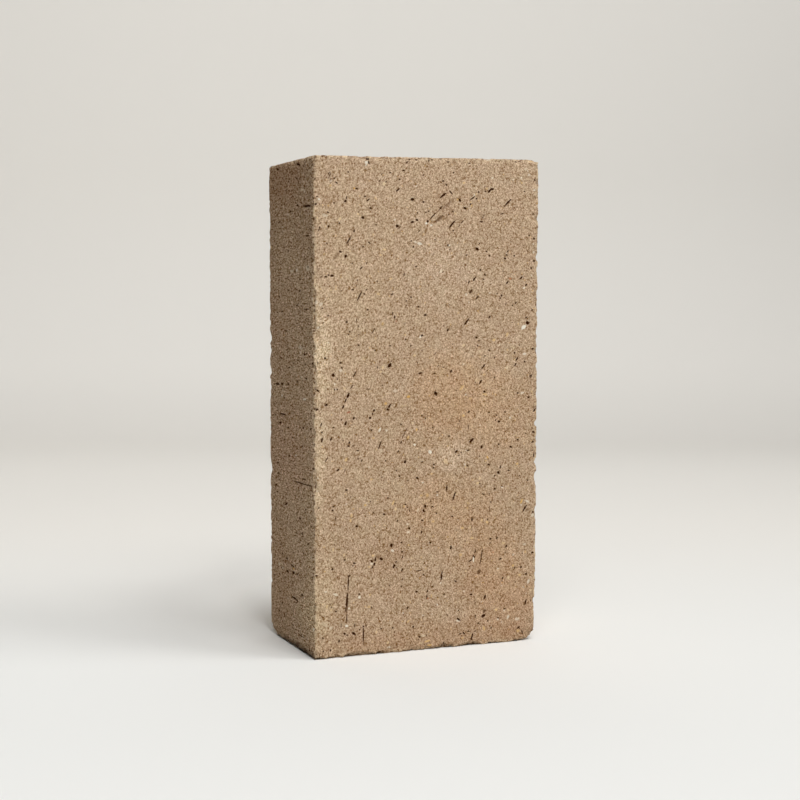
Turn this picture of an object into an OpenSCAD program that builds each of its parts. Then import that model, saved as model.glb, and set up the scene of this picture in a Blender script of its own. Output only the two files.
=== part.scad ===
// Clay paver: one fired block, standing upright on one of its ends.
// The origin is the centre of the end that it stands on, and +Z runs up along its length.
// The wear face looks towards -Y, the bed face towards +Y, and the two long edges towards -X and +X.

/* [Block] */
// Length of the paver, from the end that it stands on to the top end
paver_length = 230; // [190:1:260]
// Width of the wear face
paver_width = 113; // [90:1:130]
// Thickness, from the wear face to the bed face
paver_thickness = 65; // [40:1:90]

/* [Arrises along the thickness] */
// Radius where the top end meets the left edge
top_left_radius = 1.5; // [0.5:0.1:8]
// Radius where the top end meets the right edge
top_right_radius = 2.8; // [0.5:0.1:8]
// Radius where the standing end meets the left edge
bottom_left_radius = 2.4; // [0.5:0.1:8]
// Radius where the standing end meets the right edge, worn round
bottom_right_radius = 6.5; // [0.5:0.1:10]

/* [Arrises along the width] */
// Radius where the top end meets the wear face
top_front_radius = 0.9; // [0.5:0.1:8]
// Radius where the top end meets the bed face
top_back_radius = 2.2; // [0.5:0.1:8]
// Radius where the standing end meets the wear face
bottom_front_radius = 1.3; // [0.5:0.1:8]
// Radius where the standing end meets the bed face, worn round
bottom_back_radius = 7.5; // [0.5:0.1:10]

/* [Arrises along the length] */
// Radius where the wear face meets the left edge
front_left_radius = 1.0; // [0.5:0.1:8]
// Radius where the wear face meets the right edge
front_right_radius = 1.2; // [0.5:0.1:8]
// Radius where the bed face meets the left edge
back_left_radius = 1.6; // [0.5:0.1:8]
// Radius where the bed face meets the right edge
back_right_radius = 1.8; // [0.5:0.1:8]

/* [Chips] */
// Radius of the hollow that each chip leaves in an arris
chip_radius = 5; // [3:0.5:9]
// Height of the chip in the arris between the wear face and the left edge
left_chip_height = 79; // [40:1:150]
// How far that chip bites in from the sharp arris
left_chip_bite = 1.7; // [0.8:0.1:2.5]
// Height of the chip in the arris between the wear face and the right edge
right_chip_height = 17; // [12:1:150]
// How far that chip bites in from the sharp arris
right_chip_bite = 1.9; // [0.8:0.1:2.5]
// Distance of the chip in the arris of the top end and wear face from the right edge
top_chip_inset = 3.5; // [3:0.5:50]
// How far that chip bites in from the sharp arris
top_chip_bite = 1.8; // [0.8:0.1:2.5]

/* [Hidden] */
$fn = 64;

// How far a cutting shape runs past the face that it cuts
overshoot = 4;

// What a rounding takes off a square corner at the origin that opens towards +X and +Y
module corner_waste(radius) {
    difference() {
        translate([-overshoot, -overshoot])
            square(radius + overshoot);
        translate([radius, radius])
            circle(radius);
    }
}

// Rectangle centred on the origin with a radius of its own at each corner,
// in the order bottom left, bottom right, top right, top left
module outline(size_x, size_y, radii) {
    corners = [[-1, -1], [1, -1], [1, 1], [-1, 1]];
    difference() {
        square([size_x, size_y], center = true);
        for (i = [0 : 3])
            translate([corners[i][0] * size_x / 2, corners[i][1] * size_y / 2])
                rotate(90 * i)
                    corner_waste(radii[i]);
    }
}

// Prism of the front view, which rounds the four arrises along the thickness
module front_prism() {
    radii = [bottom_left_radius, bottom_right_radius, top_right_radius, top_left_radius];
    translate([0, 0, paver_length / 2])
        rotate([90, 0, 0])
            linear_extrude(paver_thickness + 2 * overshoot, center = true)
                outline(paver_width, paver_length, radii);
}

// Prism of the side view, which rounds the four arrises along the width
module side_prism() {
    radii = [bottom_front_radius, bottom_back_radius, top_back_radius, top_front_radius];
    translate([0, 0, paver_length / 2])
        rotate([90, 0, 90])
            linear_extrude(paver_width + 2 * overshoot, center = true)
                outline(paver_thickness, paver_length, radii);
}

// Prism of the plan, which rounds the four arrises along the length
module plan_prism() {
    radii = [front_left_radius, front_right_radius, back_right_radius, back_left_radius];
    translate([0, 0, -overshoot])
        linear_extrude(paver_length + 2 * overshoot)
            outline(paver_width, paver_thickness, radii);
}

// Hollow of a chip: a ball that bites into the arris at a point, from the way that the arris faces
module chip(point, facing, bite) {
    out = facing / norm(facing);
    translate(point + out * (chip_radius - bite))
        sphere(chip_radius);
}

// The whole paver: what the three views have in common, less the chips
module paver() {
    left = -paver_width / 2;
    right = paver_width / 2;
    front = -paver_thickness / 2;
    color([0.69, 0.59, 0.48])
        difference() {
            intersection() {
                front_prism();
                side_prism();
                plan_prism();
            }
            chip([left, front, left_chip_height], [-1, -1, 0], left_chip_bite);
            chip([right, front, right_chip_height], [1, -1, 0], right_chip_bite);
            chip([right - top_chip_inset, front, paver_length], [0, -1, 1], top_chip_bite);
        }
}

paver();
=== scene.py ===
# Clay paver standing on its end, with its fired skin, drag marks, pits, flecks and chipped arrises.
import math

import bpy
import numpy as np
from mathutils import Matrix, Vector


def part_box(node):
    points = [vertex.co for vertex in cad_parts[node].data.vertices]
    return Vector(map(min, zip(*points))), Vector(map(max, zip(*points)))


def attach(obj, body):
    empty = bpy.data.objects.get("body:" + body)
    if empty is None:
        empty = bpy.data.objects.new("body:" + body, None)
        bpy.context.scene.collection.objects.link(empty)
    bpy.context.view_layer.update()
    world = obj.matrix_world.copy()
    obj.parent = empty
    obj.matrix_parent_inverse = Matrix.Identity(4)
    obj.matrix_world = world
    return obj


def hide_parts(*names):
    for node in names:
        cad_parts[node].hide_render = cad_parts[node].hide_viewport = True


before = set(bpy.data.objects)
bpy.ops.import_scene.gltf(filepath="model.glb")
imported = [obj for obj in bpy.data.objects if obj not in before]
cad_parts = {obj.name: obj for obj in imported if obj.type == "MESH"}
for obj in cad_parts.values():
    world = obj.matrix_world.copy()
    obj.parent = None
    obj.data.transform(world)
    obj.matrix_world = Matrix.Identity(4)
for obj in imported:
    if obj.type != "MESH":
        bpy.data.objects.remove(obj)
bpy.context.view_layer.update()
print("frame loaded")

millimetre = 0.001


def linear(*display):
    # 0-255 display values to the linear colour that a shader takes, by the sRGB curve
    share = np.array(display) / 255
    bent = np.where(share <= 0.04045, share / 12.92, ((share + 0.055) / 1.055) ** 2.4)
    return (*[float(v) for v in bent], 1.0)


# Camera, placed from the centre of the standing end, in millimetres and degrees
camera = {
    "azimuth": -22.4,       # round the paver, towards its left edge
    "tilt": 4.3,            # looks down by this much
    "roll": -0.04,
    "distance": 770.3,
    "aside": -1.05,         # to the right of the line through the paver's middle
    "height": 173.2,
    "lens": 72,
    "sensor": 36,
    "clip": (0.01, 50),      # nearest and farthest that it sees, in metres
}


def toView(right, away, up):
    # Turns a place given from the camera's side (right, away, up) about Z into the frame's X, Y, Z
    turn = math.radians(camera["azimuth"])
    c, s = math.cos(turn), math.sin(turn)
    return (c * right - s * away, s * right + c * away, up)


def makeCamera():
    data = bpy.data.cameras.new("camera")
    data.lens = camera["lens"]
    data.sensor_width = camera["sensor"]
    data.clip_start, data.clip_end = camera["clip"]
    eye = bpy.data.objects.new("camera", data)
    bpy.context.scene.collection.objects.link(eye)
    place = toView(camera["aside"], -camera["distance"], camera["height"])
    eye.location = [v * millimetre for v in place]
    eye.rotation_mode = "XYZ"
    eye.rotation_euler = (
        math.radians(90 - camera["tilt"]),
        math.radians(camera["roll"]),
        math.radians(camera["azimuth"]),
    )
    bpy.context.scene.camera = eye


makeCamera()
print("camera placed")

# The block, in millimetres: its sizes come from the frame
block = {
    "node": "paver",
    "body": "root",
    "slot": "fired_clay",
    "middleStep": 1.06,      # between grid lines over the middle of a face
    "arrisStep": 0.5,        # between grid lines beside an arris
    "arrisBand": 2.5,        # width of the closer lines beside an arris
    "topDrop": {"frontLeft": 1.3, "frontRight": 0.2, "backLeft": 2.2, "backRight": 0.7},
    "rightLean": 0.2,        # the right edge leans in by this much at the foot
}

# Radii of the twelve arrises, by the view that shows them as corners
arrisRadii = {
    "front": {(-1, -1): 1.4, (1, -1): 8.5, (1, 1): 2.8, (-1, 1): 1.5},    # across X, up Z
    "side": {(-1, -1): 0.6, (1, -1): 9.5, (1, 1): 2.2, (-1, 1): 0.9},     # across Y, up Z
    "plan": {(-1, -1): 0.5, (1, -1): 0.8, (1, 1): 1.6, (-1, 1): 1.0},     # across X, across Y
}
viewAxes = {"front": (0, 2), "side": (1, 2), "plan": (0, 1)}

# Each face: axis it looks along, which way, and its own across and up as (axis, way)
faces = {
    "wear": {"axis": 1, "way": -1, "across": (0, 1), "up": (2, 1)},
    "bed": {"axis": 1, "way": 1, "across": (0, -1), "up": (2, 1)},
    "left": {"axis": 0, "way": -1, "across": (1, -1), "up": (2, 1)},
    "right": {"axis": 0, "way": 1, "across": (1, 1), "up": (2, 1)},
    "top": {"axis": 2, "way": 1, "across": (0, 1), "up": (1, 1)},
    "foot": {"axis": 2, "way": -1, "across": (0, 1), "up": (1, -1)},
}

low, high = [np.array(v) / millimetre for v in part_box(block["node"])]
size = high - low


def gridLines(length):
    # Places of grid lines along one side: close steps beside both ends, and even wider steps between
    band = block["arrisBand"]
    near = np.linspace(0, band, round(band / block["arrisStep"]) + 1)
    count = round((length - 2 * band) / block["middleStep"])
    middle = np.linspace(band, length - band, count + 1)[1:-1]
    return np.concatenate([near, middle, length - near[::-1]])


def cloud(points, cell, seed):
    # Smooth height from -1 to 1: random numbers at the corners of cubic cells, blended along
    # each axis by 3t^2 - 2t^3, where t is the place within the cell
    count = 61
    table = np.random.default_rng(seed).uniform(-1, 1, (count, count, count))
    place = points / cell
    base = np.floor(place).astype(int)
    t = place - base
    t = t * t * (3 - 2 * t)
    total = np.zeros(len(points))
    for corner in np.ndindex(2, 2, 2):
        weight = np.prod(np.where(np.array(corner, bool), t, 1 - t), axis=1)
        at = (base + corner) % count
        total += weight * table[at[:, 0], at[:, 1], at[:, 2]]
    return total


def shellGrid(lines):
    # Points on the six faces of a grid of lines, and each face's sheet of point numbers
    counts = [len(v) for v in lines]
    outer = np.zeros(counts, bool)
    for axis in range(3):
        edge = [slice(None)] * 3
        for end in (0, -1):
            edge[axis] = end
            outer[tuple(edge)] = True
    number = np.full(counts, -1)
    number[outer] = np.arange(outer.sum())
    spots = np.stack([lines[a][i] for a, i in enumerate(np.nonzero(outer))], axis=1)
    sheets = {}
    for name, face in faces.items():
        sheet = np.take(number, 0 if face["way"] < 0 else -1, axis=face["axis"])
        rest = [a for a in range(3) if a != face["axis"]]
        if rest[0] != face["across"][0]:
            sheet = sheet.T
        if face["across"][1] < 0:
            sheet = sheet[::-1]
        if face["up"][1] < 0:
            sheet = sheet[:, ::-1]
        sheets[name] = sheet
    return spots, sheets


def quadsOf(sheet):
    # Four point numbers for each cell of a sheet, in turning order seen from outside
    corners = [sheet[:-1, :-1], sheet[1:, :-1], sheet[1:, 1:], sheet[:-1, 1:]]
    return np.stack(corners, axis=-1).reshape(-1, 4)


def faceSpots(points, face):
    # Across and up on a face, in millimetres from its lower left corner seen from outside
    columns = []
    for axis, way in (face["across"], face["up"]):
        columns.append(points[..., axis] - low[axis] if way > 0 else high[axis] - points[..., axis])
    return np.stack(columns, axis=-1)


def roundArrises(points):
    # In each view, a corner's square of side r is squeezed onto a quarter disc of radius r:
    # a point q of the unit square moves to q * max(q) / |q|
    centre = (low + high) / 2
    for view, corners in arrisRadii.items():
        axes = list(viewAxes[view])
        for way, radius in corners.items():
            way = np.array(way)
            hub = centre[axes] + way * (size[axes] / 2 - radius)
            q = (points[:, axes] - hub) * way / radius
            inside = (q > 0).all(axis=1)
            q = q[inside]
            q *= (q.max(axis=1) / np.hypot(q[:, 0], q[:, 1]))[:, None]
            spots = points[inside]
            spots[:, axes] = hub + q * way * radius
            points[inside] = spots
    return points


def leanBlock(points):
    # The top is out of square: each corner drops by its own amount, blended across the face
    u, v, w = ((points - low) / size).T
    drop = block["topDrop"]
    front = drop["frontLeft"] * (1 - u) + drop["frontRight"] * u
    back = drop["backLeft"] * (1 - u) + drop["backRight"] * u
    points[:, 2] -= w * (front * (1 - v) + back * v)
    points[:, 0] -= block["rightLean"] * u * (1 - w)
    return points


# Chips: balls that bite into the arrises. "placed" gives the point on the sharp arris from the paver's
# lower left front corner, the way the ball comes from, its radius and its bite, all in millimetres.
chips = {
    "placed": [
        # arris between the wear face and the left edge
        ((0, 0, 79), (-1, -1, 0), 5.0, 1.7),
        ((0, 0, 126), (-1, -1, 0), 4.0, 1.3),
        ((0, 0, 115.5), (-1, -1, 0), 2.6, 1.1),
        ((0, 0, 158), (-1, -1, 0), 7.0, 1.0),
        ((0, 0, 134), (-1, -0.6, 0), 4.0, 0.8),
        ((0, 0, 143), (-1, -0.6, 0), 3.0, 0.8),
        ((0, 0, 218), (-1, -1, 0), 2.2, 0.9),
        ((0, 0, 221.5), (-1, -1, 0), 1.8, 0.7),
        ((0, 0, 39.3), (-1, -1, 0), 2.0, 0.8),
        # arris between the wear face and the right edge
        ((113, 0, 17), (1, -1, 0), 5.0, 1.9),
        ((113, 0, 7), (1, -0.7, 0), 30.0, 1.3),
        ((113, 0, 202), (1, -1, 0), 2.0, 1.4),
        ((113, 0, 194), (1, -1, 0), 1.4, 0.9),
        ((113, 0, 183), (1, -1, 0), 1.6, 1.0),
        ((113, 0, 144), (1, -1, 0), 3.4, 1.5),
        ((113, 0, 139.5), (1, -1, 0), 3.0, 1.6),
        ((113, 0, 119), (1, -1, 0), 1.6, 1.0),
        ((113, 0, 98), (1, -1, 0), 2.0, 1.0),
        ((113, 0, 63), (1, -1, 0), 2.4, 1.7),
        ((113, 0, 60), (1, -1, 0), 2.0, 1.4),
        ((113, 0, 45.5), (1, -1, 0), 1.8, 1.2),
        ((113, 0, 32), (1, -1, 0), 1.8, 1.2),
        ((113, 0, 27), (1, -1, 0), 2.4, 1.2),
        ((113, 0, 22), (1, -1, 0), 1.6, 1.0),
        # arris between the top end and the wear face
        ((109.5, 0, 230), (0, -1, 1), 5.0, 1.8),
        ((110.5, 0, 230), (0.2, -0.15, 1), 8.0, 1.5),
        ((103, 0, 230), (0, -1, 1), 6.0, 0.9),
        ((26.3, 0, 230), (0, -1, 1), 1.8, 0.9),
        ((46.5, 0, 230), (0, -1, 1), 2.0, 0.7),
        ((77, 0, 230), (0, -1, 1), 4.0, 0.7),
        # arris between the standing end and the wear face
        ((2, 0, 0), (0, -0.5, -1), 2.6, 1.4),
        ((8, 0, 0), (0, -0.5, -1), 3.0, 1.3),
        ((11.5, 0, 0), (0, -0.5, -1), 2.4, 1.4),
        ((17.5, 0, 0), (0, -0.5, -1), 3.2, 1.8),
        ((21, 0, 0), (0, -0.5, -1), 2.6, 2.1),
        ((28, 0, 0), (0, -0.5, -1), 3.0, 1.3),
        ((32, 0, 0), (0, -0.5, -1), 2.6, 1.3),
        ((45, 0, 0), (0, -0.5, -1), 3.0, 1.3),
        ((54, 0, 0), (0, -0.5, -1), 2.0, 0.8),
        ((64, 0, 0), (0, -0.5, -1), 3.4, 1.8),
        ((67.5, 0, 0), (0, -0.5, -1), 2.0, 1.8),
        ((76, 0, 0), (0, -0.5, -1), 2.4, 1.8),
        ((80.5, 0, 0), (0, -0.5, -1), 3.0, 2.0),
        ((91, 0, 0), (0, -0.5, -1), 1.8, 1.2),
        ((105.5, 0, 0), (0, -0.5, -1), 2.6, 1.7),
        # arris between the standing end and the left edge
        ((0, 9, 0), (-0.05, 0, -1), 50.0, 1.1),
        ((0, 20, 0), (-0.05, 0, -1), 50.0, 1.2),
        ((0, 31, 0), (-0.05, 0, -1), 50.0, 1.1),
        ((0, 42, 0), (-0.05, 0, -1), 50.0, 1.0),
        ((0, 51, 0), (-0.05, 0, -1), 50.0, 1.0),
        # arris between the bed face and the left edge
        ((0, 65, 203), (-1, 1, 0), 3.0, 1.9),
        ((0, 65, 161), (-1, 1, 0), 1.8, 1.3),
        ((0, 65, 116.5), (-1, 1, 0), 2.2, 1.2),
        ((0, 65, 52), (-1, 1, 0), 9.0, 1.3),
        ((0, 65, 26), (-1, 1, 0), 2.4, 0.8),
        # arris between the top end and the left edge
        ((0, 7, 230), (-0.6, 0, 1), 16.0, 1.1),
        ((0, 21, 230), (-1, 0, 1), 3.0, 1.2),
        ((0, 51, 230), (-1, 0, 1), 2.4, 0.9),
    ],
    "scattered": 170,        # more of them, at random along all twelve arrises
    "radius": (1.4, 4.2),
    "bite": (0.35, 1.15),
    "fewLarge": 1.8,         # the higher, the fewer of them are large
    "seed": 7,
}


def allChips():
    # Ball centres and radii: placed chips, then scattered ones at random along the arrises
    rows = []
    for spot, way, radius, bite in chips["placed"]:
        rows.append((low + np.array(spot, float), np.array(way, float), radius, bite))
    pick = np.random.default_rng(chips["seed"])
    for i in range(chips["scattered"]):
        along = pick.choice(3, p=size / size.sum())
        way = pick.choice([-1.0, 1.0], 3)
        spot = np.where(way < 0, low, high)
        spot[along] = pick.uniform(low[along], high[along])
        way[along] = 0
        bulk = pick.random() ** chips["fewLarge"]
        radius = chips["radius"][0] + bulk * (chips["radius"][1] - chips["radius"][0])
        bite = chips["bite"][0] + bulk * (chips["bite"][1] - chips["bite"][0])
        rows.append((spot, way, radius, bite))
    centres = [s + w / np.linalg.norm(w) * (r - b) for s, w, r, b in rows]
    return np.array(centres), np.array([r for s, w, r, b in rows])


def biteChips(points):
    # A point inside a ball moves away from the ball's centre until it is on the ball
    for centre, radius in zip(*allChips()):
        away = points - centre
        distance = np.linalg.norm(away, axis=1)
        inside = distance < radius
        points[inside] = centre + away[inside] * (radius / distance[inside])[:, None]
    return points


# Marks on the faces: across, up, length, width, slant in degrees, darkness from 0 to 1.
# They are the drag tears of the wire and the pits where grit came out.
wearMarks = [
    # tears and drag marks, from the top down
    (17.0, 192.3, 5.2, 0.7, 58, 0.55), (11.0, 185.2, 6.5, 1.2, 52, 0.28), (41.0, 215.4, 2.6, 0.8, 40, 0.7),
    (26.5, 210.7, 2.2, 0.7, 40, 0.5), (63.6, 213.1, 4.4, 1.0, 38, 0.65), (67.7, 214.5, 2.7, 0.7, -45, 0.5),
    (58.6, 203.7, 5.6, 0.6, 45, 0.6), (61.5, 202.2, 7.0, 1.7, 38, 0.36), (65.5, 208.6, 9.0, 1.5, 38, 0.26),
    (62.4, 207.2, 3.4, 0.8, 50, 0.45), (68.2, 199.8, 5.8, 0.9, 47, 0.65), (73.5, 201.1, 2.2, 0.7, 47, 0.35),
    (78.6, 212.0, 3.8, 0.7, 36, 0.5), (87.7, 215.8, 3.2, 1.1, 48, 0.85), (89.0, 216.5, 1.7, 1.0, 0, 0.85),
    (96.8, 210.0, 5.0, 0.9, 45, 0.7), (98.3, 211.4, 1.2, 0.8, 45, 0.8), (94.0, 205.0, 2.6, 0.5, 17, 0.4),
    (22.2, 166.9, 5.6, 0.8, 61, 0.5), (29.0, 151.0, 3.6, 0.6, 56, 0.35), (19.9, 131.4, 3.7, 0.7, 62, 0.6),
    (16.6, 121.6, 2.8, 1.2, 65, 0.85), (15.4, 119.4, 2.6, 0.7, 65, 0.6), (14.2, 116.5, 2.2, 0.8, 60, 0.75),
    (37.0, 116.1, 2.7, 0.9, 60, 0.85), (76.0, 154.5, 4.2, 0.9, 50, 0.5), (75.2, 153.6, 1.3, 1.0, 50, 0.75),
    (84.6, 133.1, 4.0, 0.7, 48, 0.5), (83.2, 125.9, 2.7, 0.8, 55, 0.65), (101.6, 133.9, 2.4, 0.8, 64, 0.65),
    (102.3, 136.3, 2.4, 0.8, 60, 0.7), (109.9, 127.9, 2.4, 0.8, 60, 0.6), (87.8, 156.5, 1.9, 0.8, 50, 0.65),
    (32.2, 98.3, 4.5, 0.7, 67, 0.5), (6.0, 92.5, 3.6, 0.6, 55, 0.35), (3.9, 101.6, 2.6, 0.9, 84, 0.65),
    (3.5, 108.6, 2.5, 0.6, 70, 0.5), (8.3, 102.0, 2.0, 0.8, 70, 0.6), (15.4, 108.9, 2.3, 1.0, 75, 0.65),
    (44.3, 102.8, 8.5, 0.5, 62, 0.28), (42.8, 99.0, 1.9, 1.0, 65, 0.4), (41.3, 94.8, 1.4, 0.7, 50, 0.5),
    (78.7, 98.3, 3.4, 1.4, 48, 0.6), (66.0, 76.3, 3.2, 0.9, 82, 0.6), (69.9, 72.6, 5.2, 0.8, 72, 0.65),
    (93.9, 85.0, 2.0, 0.8, 70, 0.5), (79.2, 60.8, 2.4, 1.0, 88, 0.55), (107.0, 64.4, 4.6, 0.9, 55, 0.5),
    (99.4, 94.5, 1.7, 0.9, -35, 0.75), (111.7, 90.0, 2.6, 0.8, 85, 0.5),
    # long drag mark at the lower left
    (16.5, 34.0, 9.4, 0.8, 86, 0.5), (16.9, 37.8, 1.7, 1.4, 70, 0.6), (15.9, 26.0, 10.0, 1.3, 87, 0.55),
    (15.5, 22.6, 3.6, 1.5, 88, 0.4), (15.8, 18.2, 5.2, 0.7, 88, 0.4),
    (24.0, 9.8, 9.6, 0.8, 89, 0.42), (24.0, 13.9, 1.1, 0.9, 80, 0.6), (19.7, 14.8, 2.0, 0.5, 85, 0.4),
    (29.4, 42.6, 1.8, 0.9, 75, 0.75), (30.0, 44.9, 2.8, 0.8, 78, 0.65), (39.4, 41.0, 2.2, 1.4, 75, 0.85),
    (40.3, 42.9, 1.3, 0.6, 60, 0.6), (43.4, 39.0, 1.8, 0.8, 80, 0.75), (84.1, 42.4, 9.8, 0.6, 80, 0.4),
    (83.0, 35.4, 2.7, 2.0, 60, 0.42), (81.0, 45.3, 2.0, 0.7, 70, 0.4), (80.3, 42.9, 1.9, 0.7, -62, 0.9),
    (78.5, 41.0, 2.1, 0.8, 25, 0.6), (63.5, 34.6, 5.2, 0.9, 82, 0.62), (95.5, 31.4, 1.3, 0.8, 70, 0.7),
    (95.2, 30.2, 1.2, 0.8, 40, 0.65), (86.2, 23.0, 2.8, 1.2, 65, 0.5), (107.9, 18.8, 3.2, 0.8, 75, 0.55),
    (79.5, 4.3, 4.4, 0.8, 74, 0.65), (81.0, 6.8, 1.5, 0.6, 20, 0.6), (64.7, 2.3, 2.2, 0.7, 80, 0.6),
    (75.2, 6.3, 1.8, 0.8, -40, 0.8), (73.2, 6.2, 2.0, 0.6, 15, 0.5), (77.5, 7.1, 1.6, 0.6, -10, 0.5),
    (104.2, 6.7, 2.4, 0.9, 30, 0.65), (106.3, 4.0, 3.0, 0.8, -70, 0.55), (56.3, 28.0, 1.5, 0.7, 60, 0.65),
    (56.0, 25.5, 2.4, 0.7, 85, 0.6), (51.8, 38.1, 2.7, 0.5, 5, 0.5), (92.4, 51.1, 1.9, 0.9, 70, 0.6),
    (97.4, 46.8, 1.9, 0.9, 65, 0.55), (94.3, 40.8, 1.5, 0.8, 30, 0.55), (68.3, 48.0, 2.3, 1.0, 80, 0.65),
    (55.0, 68.4, 1.8, 1.2, 70, 0.7), (54.2, 66.3, 2.0, 1.2, -60, 0.7), (97.0, 187.3, 2.1, 0.6, 50, 0.45),
    (79.8, 174.5, 2.8, 0.9, 55, 0.65), (104.2, 174.8, 2.2, 0.9, 35, 0.65), (97.0, 172.7, 1.9, 0.8, 45, 0.75),
    (107.0, 171.5, 1.7, 0.9, 50, 0.6), (78.0, 168.6, 2.6, 1.3, 50, 0.5), (81.3, 165.7, 3.0, 0.9, 52, 0.4),
    (23.0, 179.7, 2.3, 0.7, 45, 0.42), (44.2, 176.8, 1.9, 0.7, 75, 0.38), (25.7, 182.0, 1.3, 0.8, 50, 0.35),
    # pits, from the top down
    (26.2, 229.2, 1.6, 0.9, 0, 0.85), (26.8, 227.6, 1.8, 0.7, -65, 0.8), (46.7, 229.5, 1.1, 0.8, 0, 0.6),
    (50.5, 229.3, 1.0, 0.8, 0, 0.6), (56.5, 229.0, 1.1, 0.9, 0, 0.5), (45.5, 228.0, 2.1, 0.9, 35, 0.4),
    (43.8, 224.3, 1.5, 0.9, 0, 0.55), (37.3, 223.3, 1.1, 0.8, 0, 0.45), (16.8, 223.2, 1.1, 0.8, 0, 0.45),
    (41.9, 220.2, 0.8, 0.7, 0, 0.55), (32.0, 219.4, 1.1, 1.0, 0, 0.45), (10.2, 220.3, 0.9, 0.8, 0, 0.45),
    (11.2, 218.3, 1.7, 0.7, -35, 0.5), (20.9, 215.8, 1.3, 0.8, 0, 0.65), (15.5, 210.1, 1.4, 1.1, 20, 0.85),
    (15.9, 211.5, 1.7, 0.6, 80, 0.7), (48.3, 211.2, 2.1, 1.4, 0, 0.95), (1.3, 208.6, 1.6, 0.8, 20, 0.65),
    (1.9, 212.0, 1.1, 0.7, 0, 0.5), (10.0, 209.2, 0.9, 0.8, 0, 0.5), (24.9, 212.3, 1.3, 0.7, 0, 0.55),
    (27.7, 207.0, 1.4, 0.9, -15, 0.7), (7.0, 205.0, 1.4, 0.7, -25, 0.55), (22.0, 205.2, 0.9, 0.7, 0, 0.45),
    (23.9, 202.7, 1.5, 1.3, 0, 1.0), (40.8, 199.0, 1.6, 1.5, 0, 1.0), (48.2, 200.8, 2.0, 1.1, 15, 0.85),
    (50.6, 201.8, 1.2, 1.1, 0, 0.85), (53.8, 210.1, 1.0, 0.9, 0, 0.65), (55.9, 201.2, 1.3, 1.5, 0, 0.55),
    (12.5, 200.0, 0.9, 0.8, 0, 0.5), (3.1, 198.0, 1.4, 0.7, 80, 0.55), (2.7, 197.0, 0.9, 0.7, 0, 0.5),
    (7.3, 198.7, 1.2, 1.0, 0, 0.55), (6.7, 197.4, 0.9, 0.6, 0, 0.45), (30.3, 199.5, 0.9, 0.7, 60, 0.45),
    (19.7, 196.6, 1.4, 0.9, -70, 0.6), (6.5, 191.0, 1.0, 0.7, 0, 0.45), (27.0, 191.3, 1.7, 0.7, -35, 0.65),
    (48.8, 189.4, 1.2, 0.9, 0, 0.65), (24.0, 189.6, 1.0, 0.8, -30, 0.4), (15.6, 185.2, 1.7, 1.3, 45, 0.95),
    (13.0, 187.3, 1.4, 1.2, 0, 0.8), (50.2, 180.4, 1.3, 0.8, 0, 0.6), (9.0, 176.4, 2.0, 1.1, -5, 0.95),
    (7.2, 176.6, 1.0, 0.7, 0, 0.5), (5.9, 175.9, 1.5, 0.8, -20, 0.5), (3.6, 175.8, 2.0, 1.0, 20, 0.3),
    (21.2, 174.3, 0.9, 0.7, 60, 0.45), (63.7, 219.8, 1.2, 0.9, 0, 0.8), (65.3, 218.1, 1.0, 0.9, 0, 0.7),
    (69.0, 223.8, 1.1, 0.8, 50, 0.5), (66.2, 228.7, 1.5, 0.9, 0, 0.4), (77.0, 228.2, 1.6, 0.6, 0, 0.4),
    (58.2, 229.6, 1.4, 0.8, 0, 0.7), (101.3, 229.3, 1.5, 0.7, 0, 0.5), (72.2, 211.0, 1.7, 1.2, -60, 0.9),
    (74.9, 207.4, 1.7, 1.2, -15, 0.95), (81.8, 215.0, 1.0, 0.9, 0, 0.5), (85.3, 215.3, 0.9, 0.8, 0, 0.5),
    (83.2, 201.2, 2.0, 0.9, -10, 0.6), (80.7, 211.9, 1.0, 0.9, 0, 0.55), (77.7, 209.3, 1.1, 0.8, 0, 0.5),
    (68.6, 205.9, 1.4, 0.6, 5, 0.55), (66.4, 204.3, 0.7, 0.7, 0, 0.5), (68.9, 197.0, 1.0, 0.9, 0, 0.5),
    (81.2, 188.5, 2.0, 1.4, -35, 0.95), (82.4, 191.0, 0.7, 0.7, 0, 0.5), (86.0, 187.3, 0.9, 0.8, 0, 0.5),
    (75.8, 185.6, 1.1, 0.7, 45, 0.5), (87.5, 185.3, 1.0, 0.9, 0, 0.6), (95.7, 184.0, 1.3, 1.0, -20, 0.9),
    (96.6, 185.6, 1.1, 0.8, 0, 0.55), (100.5, 185.3, 1.1, 0.8, 60, 0.5), (108.3, 194.8, 1.1, 0.8, -30, 0.5),
    (111.0, 193.2, 1.3, 1.0, -20, 0.7), (111.0, 182.8, 1.3, 1.0, -20, 0.7), (109.6, 179.3, 1.2, 1.0, 0, 0.7),
    (82.8, 178.6, 1.3, 0.8, -30, 0.55), (85.3, 176.3, 1.3, 0.8, -30, 0.65), (84.5, 174.3, 0.9, 0.7, 0, 0.5),
    (59.6, 192.7, 1.0, 0.9, 0, 0.5), (66.2, 190.2, 1.2, 0.8, 90, 0.8), (110.3, 205.0, 1.0, 0.9, 0, 0.6),
    (105.7, 215.6, 1.0, 0.7, 45, 0.5), (111.0, 221.0, 1.0, 0.9, 0, 0.55), (94.7, 178.0, 1.3, 1.2, 0, 0.3),
    (18.9, 170.0, 1.3, 0.8, 0, 0.6), (25.6, 169.8, 0.9, 0.8, 0, 0.7), (24.4, 168.0, 1.0, 0.8, -45, 0.5),
    (38.2, 167.6, 1.5, 0.9, 30, 0.5), (26.2, 160.7, 1.1, 0.9, 0, 0.6), (47.6, 166.2, 1.0, 0.8, 0, 0.5),
    (45.3, 164.5, 0.9, 0.7, 0, 0.5), (51.4, 161.8, 1.1, 0.9, 70, 0.75), (54.9, 157.9, 1.4, 1.0, 0, 0.85),
    (39.5, 157.2, 1.7, 1.0, 85, 0.5), (4.3, 161.7, 0.9, 0.7, 0, 0.45), (7.0, 158.3, 0.9, 0.8, 60, 0.5),
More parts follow.
